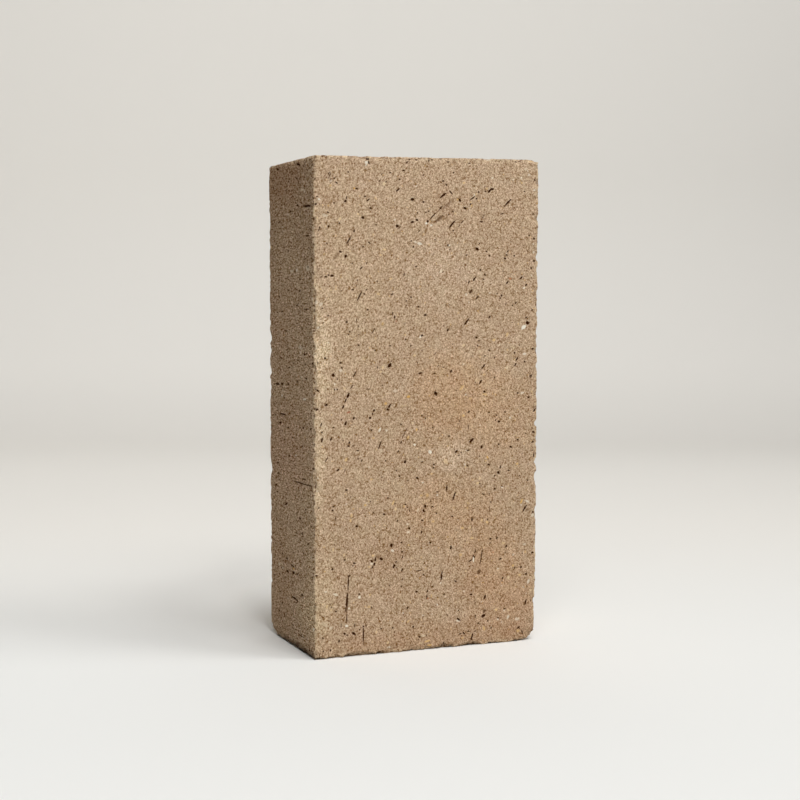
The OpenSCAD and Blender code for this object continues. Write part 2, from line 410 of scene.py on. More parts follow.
    (15.9, 155.3, 1.2, 1.0, 0, 0.75), (21.7, 153.3, 0.7, 0.6, 0, 0.55), (17.4, 150.8, 1.0, 0.9, 0, 0.5),
    (16.8, 149.6, 1.1, 0.6, 0, 0.45), (53.2, 148.4, 1.4, 1.1, 20, 0.95), (45.0, 146.8, 1.6, 0.8, 45, 0.42),
    (21.7, 144.6, 1.4, 0.7, -25, 0.6), (37.2, 144.0, 1.0, 0.8, 0, 0.5), (29.8, 142.0, 0.9, 0.7, 0, 0.5),
    (5.5, 139.0, 1.2, 0.9, -60, 0.85), (13.0, 136.7, 1.3, 0.9, 20, 0.65), (13.6, 134.4, 0.9, 0.8, 0, 0.65),
    (9.4, 131.2, 1.9, 1.6, 60, 0.6), (37.1, 134.9, 2.7, 1.6, 62, 0.92), (52.4, 130.9, 2.5, 1.0, 15, 0.5),
    (33.4, 125.8, 0.7, 0.7, 0, 0.5), (11.3, 124.6, 1.0, 0.8, 50, 0.45), (26.5, 124.3, 3.2, 0.4, 2, 0.35),
    (2.0, 124.3, 1.8, 0.8, -40, 0.65), (6.0, 117.7, 1.7, 1.1, 0, 0.85), (1.5, 115.8, 1.8, 1.3, 0, 0.6),
    (66.2, 150.7, 1.4, 1.1, 40, 0.7), (94.0, 166.5, 1.1, 0.9, 60, 0.85), (93.3, 165.3, 0.9, 0.8, 0, 0.55),
    (91.7, 167.5, 0.9, 0.7, 45, 0.5), (101.5, 163.0, 1.7, 0.7, 60, 0.42), (99.8, 161.8, 0.9, 0.8, 0, 0.5),
    (110.2, 159.5, 1.3, 0.8, 20, 0.6), (107.1, 156.0, 1.0, 0.8, 0, 0.65), (107.9, 153.4, 2.1, 1.7, 15, 1.0),
    (81.0, 147.0, 1.5, 1.1, -20, 0.6), (82.3, 145.4, 1.3, 1.1, 0, 0.4), (87.7, 140.8, 1.0, 0.7, 0, 0.6),
    (90.6, 137.3, 0.9, 0.7, 60, 0.5), (85.5, 138.2, 1.0, 0.8, 0, 0.42), (103.6, 142.8, 0.7, 0.7, 0, 0.6),
    (101.1, 139.3, 1.1, 0.9, 0, 0.8), (106.4, 135.0, 1.0, 0.8, 45, 0.6), (110.9, 141.0, 1.4, 1.0, -20, 0.75),
    (68.0, 131.3, 1.9, 1.2, 70, 0.65), (64.0, 133.4, 0.9, 0.6, 0, 0.45), (59.4, 130.6, 1.0, 0.8, 0, 0.6),
    (60.3, 121.2, 2.3, 1.5, -60, 1.0), (85.3, 121.3, 1.5, 1.0, -15, 0.8), (102.8, 120.1, 1.4, 0.9, 10, 0.6),
    (108.6, 117.8, 1.2, 1.0, 0, 0.65), (36.2, 114.5, 1.5, 1.2, 0, 0.9), (29.3, 114.3, 1.4, 0.9, 40, 0.6),
    (28.5, 112.8, 1.2, 0.9, 60, 0.55), (27.4, 110.9, 1.3, 1.2, 45, 0.85), (28.0, 105.3, 1.1, 0.9, 0, 0.6),
    (19.4, 111.1, 1.5, 1.1, 70, 0.7), (13.3, 110.6, 0.9, 0.8, 0, 0.55), (9.4, 107.2, 0.9, 0.8, 0, 0.5),
    (3.9, 105.2, 1.0, 0.9, 0, 0.5), (17.2, 99.9, 1.3, 1.0, 80, 0.7), (16.8, 98.4, 1.1, 0.9, 0, 0.6),
    (14.1, 101.0, 1.0, 0.7, 60, 0.5), (19.0, 98.4, 0.8, 0.7, 0, 0.5), (21.2, 96.1, 1.4, 0.7, 0, 0.65),
    (21.5, 92.3, 0.8, 0.7, 0, 0.6), (53.2, 111.0, 1.2, 1.0, 0, 0.5), (42.7, 107.3, 1.0, 0.7, 0, 0.5),
    (35.0, 90.7, 0.9, 0.8, 0, 0.5), (44.8, 89.8, 1.8, 1.2, 75, 0.95), (53.3, 89.3, 1.2, 0.7, 0, 0.7),
    (51.0, 81.9, 1.6, 1.1, -10, 1.0), (42.0, 83.2, 1.3, 0.8, -35, 0.5), (46.2, 81.0, 0.7, 0.7, 0, 0.55),
    (40.4, 85.9, 0.9, 0.7, 0, 0.45), (11.6, 87.6, 1.9, 0.9, 25, 0.65), (15.8, 78.0, 1.3, 1.0, 20, 0.8),
    (36.2, 73.3, 1.2, 0.8, 0, 0.65), (27.4, 72.1, 0.9, 0.7, 0, 0.4), (9.5, 70.8, 1.5, 0.7, 15, 0.65),
    (9.0, 69.0, 1.1, 1.0, 0, 0.65), (2.3, 70.6, 0.9, 0.7, 0, 0.5), (34.3, 65.8, 1.3, 1.0, -20, 0.65),
    (45.0, 69.8, 1.3, 0.6, 0, 0.6), (46.0, 68.3, 0.9, 0.6, 0, 0.5), (20.8, 61.0, 1.3, 1.1, 0, 0.8),
    (53.5, 61.8, 1.2, 0.9, 0, 0.6), (46.9, 58.5, 1.5, 1.1, 20, 0.75), (41.0, 62.3, 1.0, 0.8, 45, 0.5),
    (77.3, 112.0, 1.7, 1.1, 45, 0.5), (87.7, 111.3, 1.0, 0.9, 0, 0.45), (91.3, 107.6, 1.0, 0.8, 0, 0.65),
    (93.0, 106.8, 1.4, 1.0, -10, 0.85), (91.8, 109.9, 0.8, 0.7, 0, 0.5), (67.0, 100.9, 1.1, 0.9, 0, 0.6),
    (58.7, 105.3, 1.0, 0.7, 60, 0.5), (70.9, 93.5, 1.9, 1.1, 45, 0.95), (72.1, 91.6, 1.1, 0.6, 20, 0.6),
    (73.4, 92.9, 1.0, 0.7, 0, 0.5), (77.0, 93.8, 1.5, 0.8, 0, 0.6), (76.5, 86.5, 1.2, 0.8, 0, 0.55),
    (84.0, 95.1, 1.6, 1.3, 75, 0.95), (96.1, 111.3, 1.2, 0.9, 0, 0.4), (111.5, 101.0, 1.5, 1.0, 0, 0.65),
    (111.0, 96.3, 1.3, 0.9, 10, 0.65), (103.0, 97.7, 1.3, 1.0, 0, 0.5), (107.2, 100.6, 1.0, 0.6, 0, 0.5),
    (93.0, 96.0, 1.0, 0.8, 0, 0.45), (111.0, 92.3, 1.0, 0.8, 0, 0.55), (59.4, 87.8, 1.3, 0.8, -40, 0.7),
    (59.2, 86.3, 1.2, 0.7, 20, 0.65), (87.9, 86.4, 1.3, 0.9, -20, 0.65), (98.3, 83.2, 1.3, 0.6, -5, 0.65),
    (93.0, 82.4, 1.5, 1.3, -45, 0.95), (91.0, 81.0, 1.0, 0.9, 45, 0.5), (91.1, 74.7, 1.1, 1.0, 0, 0.65),
    (61.2, 74.8, 1.3, 0.7, 0, 0.5), (95.0, 75.7, 1.0, 0.5, 0, 0.5), (83.1, 77.7, 0.8, 0.7, 45, 0.75),
    (104.2, 80.3, 0.9, 0.7, -40, 0.5), (108.5, 78.0, 0.9, 0.8, 0, 0.5), (58.7, 68.0, 1.3, 0.7, 0, 0.65),
    (68.8, 62.8, 1.3, 0.8, 0, 0.55), (60.7, 64.8, 1.0, 0.8, 0, 0.5), (89.0, 68.5, 1.0, 0.8, 0, 0.5),
    (87.4, 60.2, 0.9, 0.7, 0, 0.65), (85.0, 72.5, 2.2, 0.6, -25, 0.4), (111.8, 62.5, 1.8, 1.4, 0, 0.85),
    (38.0, 51.0, 1.9, 1.5, 80, 0.78), (35.8, 48.5, 0.9, 0.7, 0, 0.5), (43.3, 47.6, 1.3, 0.8, -15, 0.7),
    (43.0, 52.0, 1.2, 0.7, 30, 0.5), (32.9, 44.9, 1.9, 1.4, -30, 0.95), (28.2, 44.2, 1.5, 1.1, -60, 0.65),
    (19.5, 43.8, 1.5, 1.0, 0, 0.6), (18.8, 42.7, 0.9, 0.7, 60, 0.5), (8.8, 41.8, 1.4, 1.0, 0, 0.65),
    (14.8, 45.7, 0.9, 0.8, 0, 0.45), (53.2, 56.2, 1.8, 0.8, 85, 0.6), (57.7, 51.0, 1.3, 1.0, 45, 0.6),
    (88.8, 50.8, 1.2, 1.0, 0, 0.7), (88.7, 48.9, 0.8, 0.8, 0, 0.5), (50.8, 28.1, 1.4, 1.0, 10, 0.95),
    (22.0, 29.2, 1.2, 0.7, 0, 0.6), (46.2, 20.9, 1.2, 0.9, 0, 0.65), (43.0, 31.3, 1.2, 0.7, 20, 0.5),
    (54.2, 36.0, 0.9, 0.8, 0, 0.5), (37.0, 32.2, 0.9, 0.6, 80, 0.45), (28.0, 22.5, 1.3, 0.6, 90, 0.5),
    (10.5, 22.0, 1.1, 0.9, 0, 0.5), (8.3, 24.2, 1.0, 0.8, 0, 0.45), (19.3, 10.9, 2.4, 1.2, -35, 0.8),
    (14.7, 11.3, 1.5, 0.9, -60, 0.65), (16.0, 10.5, 1.3, 0.5, 0, 0.55), (4.0, 10.1, 1.1, 0.8, -20, 0.6),
    (12.0, 8.0, 1.7, 0.9, 80, 0.5), (22.2, 12.5, 0.9, 0.8, 0, 0.5), (32.8, 12.1, 0.9, 0.7, 0, 0.55),
    (38.6, 12.0, 0.9, 0.7, 0, 0.5), (49.0, 11.5, 1.7, 0.9, 80, 0.5), (52.2, 6.6, 1.7, 0.8, -35, 0.7),
    (7.7, 4.0, 1.5, 0.9, 80, 0.45), (0.9, 39.3, 1.4, 0.8, 0, 0.65), (70.7, 31.7, 1.5, 0.8, -20, 0.65),
    (78.9, 24.7, 1.5, 0.9, -5, 0.85), (72.4, 13.3, 2.5, 0.9, -35, 0.85), (72.3, 17.5, 1.0, 0.8, 45, 0.5),
    (66.5, 15.8, 0.9, 0.8, 0, 0.5), (82.8, 10.5, 1.3, 0.7, 15, 0.65), (64.8, 25.8, 1.0, 0.8, 60, 0.5),
    (59.0, 30.0, 0.8, 0.7, 0, 0.5), (85.4, 13.9, 2.6, 1.5, 25, 0.7), (86.0, 16.2, 2.2, 1.8, 60, 0.4),
    (87.7, 11.3, 1.0, 0.8, 70, 0.5), (108.0, 32.6, 1.4, 1.1, 70, 0.6), (105.3, 36.0, 1.5, 1.2, 40, 0.5),
    (96.7, 16.4, 1.2, 0.7, 0, 0.8), (93.3, 12.3, 1.3, 0.7, -15, 0.8), (111.3, 42.7, 1.4, 1.0, 20, 0.7),
    (111.8, 18.0, 1.8, 1.1, 80, 0.6),
]

leftMarks = [
    # across runs from the bed face to the wear face
    (56.5, 207.7, 11.0, 1.0, -2, 0.95), (43.3, 208.8, 3.0, 1.0, 0, 0.7), (44.0, 227.4, 5.0, 1.0, -8, 0.95),
    (14.0, 227.4, 4.0, 1.0, 0, 0.65), (6.5, 222.5, 2.0, 1.0, 0, 0.5), (42.5, 221.0, 2.5, 0.8, 0, 0.55),
    (30.5, 220.4, 2.5, 0.6, 0, 0.5), (26.2, 216.6, 2.2, 0.9, 0, 0.6), (32.5, 206.4, 2.8, 0.9, 0, 0.75),
    (34.8, 206.3, 3.0, 0.5, 0, 0.55), (32.0, 202.0, 2.2, 0.9, 0, 0.5), (39.5, 199.8, 1.6, 0.7, 0, 0.65),
    (57.0, 194.2, 6.0, 0.7, -2, 0.6), (59.0, 188.6, 2.0, 0.7, 0, 0.65), (29.0, 188.0, 1.8, 1.4, 0, 0.8),
    (13.5, 186.6, 2.0, 0.6, 0, 0.5), (57.7, 180.0, 2.0, 0.7, 0, 0.65), (39.2, 178.2, 1.5, 0.9, 0, 0.55),
    (46.0, 174.5, 2.5, 0.8, 0, 0.6), (45.5, 169.2, 3.0, 1.2, 8, 0.7), (29.5, 169.5, 3.0, 0.6, 0, 0.5),
    (15.5, 166.6, 3.5, 0.6, 0, 0.5), (13.0, 158.9, 2.0, 0.8, 0, 0.6), (55.0, 160.8, 9.0, 0.5, 1, 0.6),
    (26.0, 150.2, 3.0, 0.8, 0, 0.6), (52.3, 139.9, 2.6, 1.1, 0, 0.7), (55.5, 140.6, 2.0, 0.6, 0, 0.5),
    (17.5, 137.0, 3.5, 0.8, 0, 0.5), (43.0, 137.0, 4.0, 0.6, 0, 0.5), (53.5, 135.5, 2.4, 0.8, 0, 0.55),
    (63.0, 136.2, 1.6, 1.1, 0, 0.8), (36.5, 135.3, 2.5, 0.6, 0, 0.5), (30.0, 133.0, 5.0, 0.6, 3, 0.6),
    (54.5, 128.9, 3.0, 1.0, -10, 0.75), (41.5, 126.9, 2.0, 1.0, 8, 0.85), (28.3, 125.0, 2.4, 1.1, 0, 0.95),
    (11.5, 124.2, 7.0, 0.9, 0, 0.95), (18.8, 124.7, 3.2, 1.1, 0, 0.9), (22.0, 118.2, 1.6, 0.9, 0, 0.65),
    (9.0, 109.0, 3.0, 0.6, 0, 0.5), (20.0, 110.1, 10.0, 0.8, -1, 0.8), (16.0, 105.7, 4.5, 0.8, 6, 0.7),
    (28.0, 104.2, 3.0, 0.8, 5, 0.65), (50.0, 105.8, 1.7, 1.1, 0, 0.95), (60.5, 106.1, 2.5, 1.0, 0, 0.85),
    (19.0, 101.9, 2.5, 0.6, 0, 0.5), (45.7, 105.5, 1.8, 0.6, 0, 0.5), (22.0, 98.0, 3.0, 0.7, 5, 0.5),
    (48.0, 97.0, 3.0, 0.7, 0, 0.5), (29.6, 90.8, 1.7, 1.2, 0, 0.7), (12.0, 85.8, 3.0, 1.1, 0, 0.7),
    (12.5, 80.8, 2.0, 0.8, 0, 0.7), (48.0, 79.6, 32.0, 0.5, 0.5, 0.6), (51.0, 82.0, 6.0, 0.6, 1, 0.5),
    (58.0, 79.8, 10.0, 0.6, 1, 0.6), (9.0, 74.6, 3.0, 0.8, 0, 0.6), (11.0, 71.4, 3.0, 0.7, 3, 0.5),
    (24.5, 67.2, 4.5, 1.1, 18, 0.75), (53.0, 68.0, 2.2, 0.9, 0, 0.6), (44.5, 62.8, 4.0, 0.9, 6, 0.7),
    (39.7, 64.7, 1.6, 0.7, 0, 0.6), (61.0, 61.2, 2.0, 0.7, 0, 0.7), (47.7, 56.0, 1.7, 1.6, 0, 0.7),
    (56.5, 52.5, 2.5, 0.9, 8, 0.6), (49.5, 47.0, 1.6, 0.8, 0, 0.6), (16.0, 46.2, 3.0, 0.6, -5, 0.5),
    (18.0, 42.0, 2.0, 1.1, 0, 0.7), (25.0, 40.7, 3.0, 1.2, 0, 0.75), (33.5, 38.5, 6.0, 0.8, -10, 0.7),
    (26.0, 34.6, 3.6, 1.2, -8, 0.95), (35.0, 35.5, 4.0, 1.4, 8, 0.7), (16.5, 35.0, 2.0, 0.7, 0, 0.6),
    (41.3, 36.0, 3.2, 0.9, 28, 0.85), (62.0, 37.5, 1.7, 1.1, 0, 0.7), (5.5, 29.5, 2.0, 0.9, 0, 0.6),
    (47.0, 26.9, 3.0, 1.2, 8, 0.95), (36.0, 23.4, 10.0, 0.8, -1, 0.85), (40.4, 23.0, 3.0, 1.1, -5, 0.9),
    (14.5, 22.8, 2.5, 0.6, 0, 0.6), (18.0, 17.8, 2.4, 1.1, 0, 0.6), (13.0, 12.9, 2.0, 1.1, 0, 0.7),
    (34.0, 10.0, 2.6, 0.9, 5, 0.7), (37.5, 8.5, 1.5, 0.7, 0, 0.5), (47.0, 7.2, 7.0, 0.5, -2, 0.5),
    (57.5, 2.8, 2.0, 1.0, 0, 0.6), (14.3, 4.8, 1.6, 0.7, 0, 0.5), (21.5, 11.8, 2.0, 0.6, 5, 0.5),
]

# Where the placed marks and flecks of a face settle on the finished block: its across and up are
# multiplied by the first pair and moved by the second
settle = {"wear": ((0.9975, 0.9975), (0.0, -0.05)), "left": ((0.99, 0.999), (0.3, 0.2))}

# Marks of each face: the placed ones, how many random ones fill it up, and which way the wire ran.
# Then, for each face, how strong its streaks are, how much paler it is than the body as a whole, and
# how much paler at its upper end than at its lower. These two are partly painted shade: the left edge,
# which less light reaches, is painted darker, the wear face paler at the top where light falls from
# above, and the left edge paler at its foot where the floor lights it.
marks = {
    "wear": {"placed": wearMarks, "more": 230, "course": "arcs"},
    "left": {"placed": leftMarks, "more": 180, "course": "level"},
    "bed": {"placed": [], "more": 620, "course": "arcs"},
    "right": {"placed": [], "more": 330, "course": "level"},
    "top": {"placed": [], "more": 150, "course": "level"},
    "foot": {"placed": [], "more": 150, "course": "level"},
    "streaks": {"wear": 0.12, "left": 1.0, "bed": 0.25, "right": 0.6, "top": 0.5, "foot": 0.5},
    "level": {"wear": 0.0, "left": -0.085, "bed": -0.03, "right": -0.08, "top": -0.04, "foot": -0.04},
    "slope": {"wear": 0.05, "left": -0.16, "bed": 0.05, "right": -0.05, "top": 0.0, "foot": 0.0},
    "courseCentre": (387, 0),    # the wire swung round this point of the face, so its tears are arcs
    "levelTilt": 2.0,            # level tears rise by this many degrees
    "margin": 0.6,               # random marks keep this far from the face's rim
    "dark": (0.25, 2),           # darkness of the faintest random mark, and how rare dark ones are
    "wide": (0.36, 1.8),         # the same for their width
    "long": (1.2, 1.9, 1.6),     # length over width: the least, how much more, and how rare that is
    "tears": (0.09, 2, 5),       # share of them that is longer still, and by how much
    "alone": (0.7, 0.7),         # how much darker and wider than the least they get on a hidden face
    "among": (0.4, 0.385),       # and on a face with placed marks
    "stray": 12,                 # how far a tear strays from its course, in degrees
    "bowl": 1.15,                # size of a mark's bowl over that of its paint
    "bowlSteps": 1.3,            # the smallest bowl, in steps of the grid
    "fullWidth": 1.2,            # narrower marks are shallower than their darkness says
    "depth": 0.75,               # how deep the darkest pit goes, in millimetres
    "narrow": (1.1, 0.6),        # width at which a mark starts to count as narrow, and over what run
    "narrowBoost": 0.45,         # how much darker the narrowest marks are painted
    "facesApart": 50.0,          # keeps the grain of one face from running on over the next
    "rubReach": 1.6,             # how far from an arris its rubbed grains show
    "seed": 23,
}

# Flecks on the faces: across, up, length, width, slant, tint and strength. The tint runs from
# 0, white, over cream at 0.33 and ochre at 0.66 to 1, rust.
wearFlecks = [
    (34.3, 218.3, 1.9, 1.3, 35, 0.28, 0.8), (12.7, 202.0, 1.8, 1.0, 45, 0.33, 0.8),
    (21.6, 204.3, 1.3, 0.9, 0, 0.33, 0.8), (25.6, 227.7, 1.5, 1.3, 0, 0.02, 0.9),
    (8.4, 219.0, 1.3, 1.0, 60, 0.05, 0.5), (2.8, 210.8, 1.1, 0.9, 0, 0.0, 0.8),
    (55.2, 200.3, 1.1, 1.0, 0, 0.0, 1.0), (51.9, 190.9, 2.3, 1.2, -10, 0.02, 0.75),
    (34.3, 188.2, 1.5, 1.0, 0, 0.36, 0.8), (19.8, 215.9, 1.1, 0.9, 0, 0.6, 0.9),
    (7.2, 208.0, 1.1, 0.9, 0, 0.55, 0.6), (37.5, 174.8, 1.5, 0.9, 0, 0.36, 0.8),
    (26.0, 178.4, 0.9, 0.7, 0, 0.3, 0.6), (57.7, 199.4, 1.2, 0.9, 0, 0.0, 0.7),
    (74.2, 219.1, 1.5, 1.1, 20, 0.42, 0.8), (66.9, 190.1, 0.8, 0.7, 0, 0.05, 0.9),
    (62.7, 178.2, 1.8, 1.2, 60, 0.15, 0.9), (104.0, 222.0, 1.0, 0.9, 0, 0.12, 1.0),
    (108.0, 223.4, 1.3, 1.1, 0, 0.05, 0.5), (106.3, 226.0, 1.5, 1.3, 0, 0.15, 0.5),
    (99.7, 221.0, 1.0, 0.8, 0, 0.05, 0.5), (98.4, 174.5, 1.3, 1.0, 20, 0.95, 0.8),
    (105.7, 170.0, 1.5, 0.8, 20, 0.08, 0.9), (111.0, 187.0, 1.3, 1.1, 70, 0.05, 0.6),
    (31.3, 168.0, 1.4, 1.0, 0, 0.42, 0.6), (1.2, 164.5, 2.2, 1.6, 0, 0.1, 0.6),
    (3.5, 163.5, 2.1, 1.4, 30, 0.1, 0.5), (2.5, 153.0, 1.5, 0.9, 15, 0.05, 0.7),
    (52.4, 147.9, 1.5, 1.0, 60, 0.05, 0.9), (33.5, 154.2, 1.6, 1.2, 70, 0.55, 0.5),
    (49.5, 139.2, 1.4, 1.0, 15, 0.35, 0.7), (24.0, 138.5, 1.3, 1.1, 0, 0.3, 0.5),
    (33.6, 134.0, 1.5, 1.2, 70, 0.33, 0.7), (32.5, 132.1, 1.4, 1.1, 60, 0.33, 0.6),
    (9.8, 124.3, 1.0, 0.9, 0, 0.36, 0.7), (14.8, 124.8, 1.7, 1.3, -60, 0.33, 0.6),
    (46.4, 120.2, 1.6, 1.2, 20, 0.62, 1.0), (35.0, 117.3, 1.4, 1.2, 0, 0.6, 0.8),
    (90.1, 145.6, 1.6, 1.3, 0, 0.45, 0.85), (97.0, 148.0, 2.2, 1.3, 60, 0.45, 0.7),
    (93.0, 143.2, 1.1, 0.9, 45, 0.2, 0.9), (74.4, 143.5, 1.5, 1.1, 40, 0.3, 0.8),
    (106.3, 138.7, 1.8, 1.0, 0, 0.03, 0.7), (97.0, 132.3, 1.8, 1.3, 0, 0.25, 0.7),
    (73.5, 123.5, 3.2, 1.0, 45, 0.5, 0.75), (85.6, 120.0, 2.4, 1.0, -15, 0.48, 0.8),
    (105.0, 120.0, 1.3, 1.1, 0, 0.03, 0.6), (110.8, 119.2, 1.1, 0.9, 0, 0.35, 0.6),
    (78.0, 118.3, 1.4, 0.9, 0, 0.48, 0.6), (81.0, 126.7, 1.5, 1.2, 0, 0.3, 0.6),
    (32.1, 105.3, 2.0, 0.9, 65, 0.05, 0.9), (50.5, 104.6, 1.3, 0.9, 80, 0.55, 0.9),
    (46.3, 101.2, 1.4, 1.1, 70, 0.5, 0.85), (48.5, 107.8, 0.9, 0.8, 0, 0.3, 0.8),
    (28.9, 101.6, 1.4, 0.9, 0, 0.5, 0.6), (49.5, 97.6, 1.1, 0.9, 0, 0.03, 0.9),
    (57.4, 93.9, 1.8, 1.5, -40, 0.03, 0.95), (32.7, 95.5, 2.2, 1.2, 65, 0.2, 0.5),
    (15.6, 92.2, 2.0, 1.3, 50, 0.45, 0.9), (2.5, 92.0, 3.0, 2.0, 80, 0.25, 0.4),
    (14.3, 103.0, 2.4, 0.7, -75, 0.25, 0.5), (28.0, 82.4, 1.5, 0.9, 0, 0.5, 0.6),
    (24.9, 70.6, 1.1, 1.0, 0, 0.55, 0.85), (38.8, 70.9, 2.3, 1.1, 70, 0.45, 0.85),
    (40.0, 68.0, 1.5, 1.0, 85, 0.35, 0.8), (18.2, 66.1, 1.8, 1.0, 80, 0.45, 0.7),
    (17.7, 63.9, 1.8, 1.0, 80, 0.45, 0.75), (51.2, 66.8, 1.5, 1.0, 60, 0.2, 0.6),
    (46.0, 60.5, 1.1, 1.0, 0, 0.1, 0.6), (53.0, 73.5, 1.4, 1.1, 0, 0.55, 0.5),
    (56.0, 73.5, 1.8, 1.5, 0, 0.6, 0.5), (74.4, 110.3, 1.3, 1.1, 0, 0.5, 0.95),
    (65.5, 89.0, 2.6, 1.8, -45, 0.35, 0.6), (87.1, 90.0, 1.5, 0.9, -60, 0.6, 0.95),
    (86.1, 88.4, 1.3, 0.9, 30, 0.5, 0.7), (75.8, 86.0, 1.7, 0.9, 60, 0.42, 0.7),
    (58.2, 83.5, 1.4, 1.0, 0, 0.5, 0.6), (102.8, 86.2, 1.4, 1.0, 0, 0.52, 0.85),
    (83.1, 80.2, 1.1, 0.9, 0, 0.3, 0.85), (82.0, 77.9, 1.5, 1.2, 0, 0.38, 0.75),
    (105.2, 68.0, 2.4, 1.0, 65, 0.58, 0.95), (105.0, 66.4, 1.0, 0.8, 0, 0.05, 0.8),
    (108.3, 67.8, 1.8, 1.0, -30, 0.05, 0.65), (59.0, 61.0, 1.5, 1.0, 0, 0.5, 0.7),
    (84.3, 60.1, 1.7, 0.9, 80, 0.4, 0.8), (87.1, 59.0, 1.6, 1.1, -15, 0.45, 1.0),
    (46.4, 56.7, 1.4, 1.0, 0, 0.12, 0.8), (9.2, 51.0, 1.9, 0.8, 80, 0.35, 0.7),
    (14.5, 48.0, 1.5, 0.9, 75, 0.35, 0.7), (28.7, 46.8, 1.3, 1.0, 0, 0.42, 0.95),
    (28.0, 43.0, 1.3, 0.9, 0, 0.1, 0.9), (38.5, 48.5, 1.6, 1.1, -35, 0.05, 0.8),
    (10.4, 29.8, 2.4, 1.0, -20, 0.08, 0.7), (5.5, 31.6, 1.5, 0.8, 0, 0.08, 0.7),
    (22.0, 27.8, 1.3, 1.0, 80, 0.05, 0.9), (15.7, 14.8, 1.4, 1.1, -15, 0.03, 1.0),
    (6.0, 24.6, 1.7, 1.0, 75, 0.35, 0.7), (8.2, 22.8, 1.1, 1.0, 0, 0.35, 0.6),
    (4.0, 25.8, 1.1, 1.0, 0, 0.3, 0.6), (26.8, 22.9, 1.7, 1.1, 0, 0.52, 0.5),
    (5.0, 16.4, 3.4, 2.0, -30, 0.2, 0.42), (8.0, 14.5, 1.7, 1.4, 0, 0.15, 0.5),
    (44.5, 22.9, 1.2, 0.9, 45, 0.15, 0.6), (36.2, 5.2, 1.4, 1.0, 60, 0.35, 0.7),
    (37.1, 3.0, 1.0, 0.8, 0, 0.05, 0.7), (56.2, 4.2, 2.8, 0.9, 10, 0.5, 0.95),
    (57.2, 2.1, 2.4, 0.9, 0, 0.55, 0.9), (53.0, 3.5, 1.0, 0.8, 0, 0.3, 0.7),
    (54.0, 7.0, 2.2, 1.2, 0, 0.2, 0.5), (30.4, 10.7, 1.5, 0.9, 80, 0.35, 0.7),
    (79.0, 51.8, 1.6, 1.2, 0, 0.42, 0.75), (80.0, 41.4, 2.6, 0.7, 86, 0.05, 1.0),
    (78.2, 57.0, 1.5, 1.1, 0, 0.35, 0.7), (74.1, 56.9, 1.7, 1.0, 0, 0.5, 0.8),
    (73.3, 44.2, 1.6, 1.3, 45, 0.48, 0.7), (107.5, 43.3, 1.5, 1.1, 70, 0.5, 0.6),
    (101.0, 37.1, 1.2, 1.0, 0, 0.55, 0.85), (98.5, 31.5, 1.9, 1.1, 85, 0.3, 0.8),
    (104.7, 32.3, 1.8, 1.3, 0, 0.45, 0.7), (63.0, 31.3, 1.1, 0.7, 80, 0.05, 0.9),
    (58.3, 25.5, 1.8, 0.8, 80, 0.45, 0.7), (95.3, 29.3, 1.1, 0.9, 0, 0.8, 0.6),
    (109.2, 28.8, 2.1, 1.2, 70, 0.05, 0.6), (110.5, 24.5, 1.5, 1.2, 0, 0.28, 0.7),
    (92.1, 16.3, 1.5, 1.1, -20, 0.42, 0.95), (98.5, 12.3, 1.9, 1.1, 65, 0.05, 0.6),
    (85.7, 7.8, 2.3, 1.1, -70, 0.5, 0.75), (103.4, 11.0, 2.2, 1.6, 0, 0.08, 0.5),
    (103.9, 5.1, 1.8, 1.4, 0, 0.52, 0.7), (107.0, 47.0, 1.4, 1.0, 0, 0.12, 0.6),
    (95.7, 48.3, 1.5, 1.2, 0, 0.38, 0.6), (93.0, 36.2, 0.8, 0.7, 0, 0.05, 0.8),
    (76.0, 36.2, 0.9, 0.7, 0, 0.35, 0.8), (105.7, 151.4, 2.6, 1.7, 35, 0.0, 1.0),
    (72.0, 12.6, 2.2, 0.9, -10, 0.08, 0.8), (96.4, 15.6, 1.0, 0.8, 0, 0.1, 0.8),
    (93.0, 11.6, 1.0, 0.8, 0, 0.1, 0.8), (111.4, 60.9, 1.9, 1.5, 30, 0.12, 0.8),
    (56.3, 24.6, 1.4, 1.0, 0, 0.95, 0.7), (16.9, 114.0, 1.9, 0.9, 20, 1.0, 0.75),
    (5.6, 203.6, 2.6, 1.4, -20, 0.12, 0.42), (13.0, 133.2, 1.4, 1.1, 0, 0.08, 0.6),
    (39.8, 123.1, 2.0, 1.6, 0, 0.1, 0.35), (85.3, 47.0, 0.8, 0.6, 0, 0.35, 0.6),
]

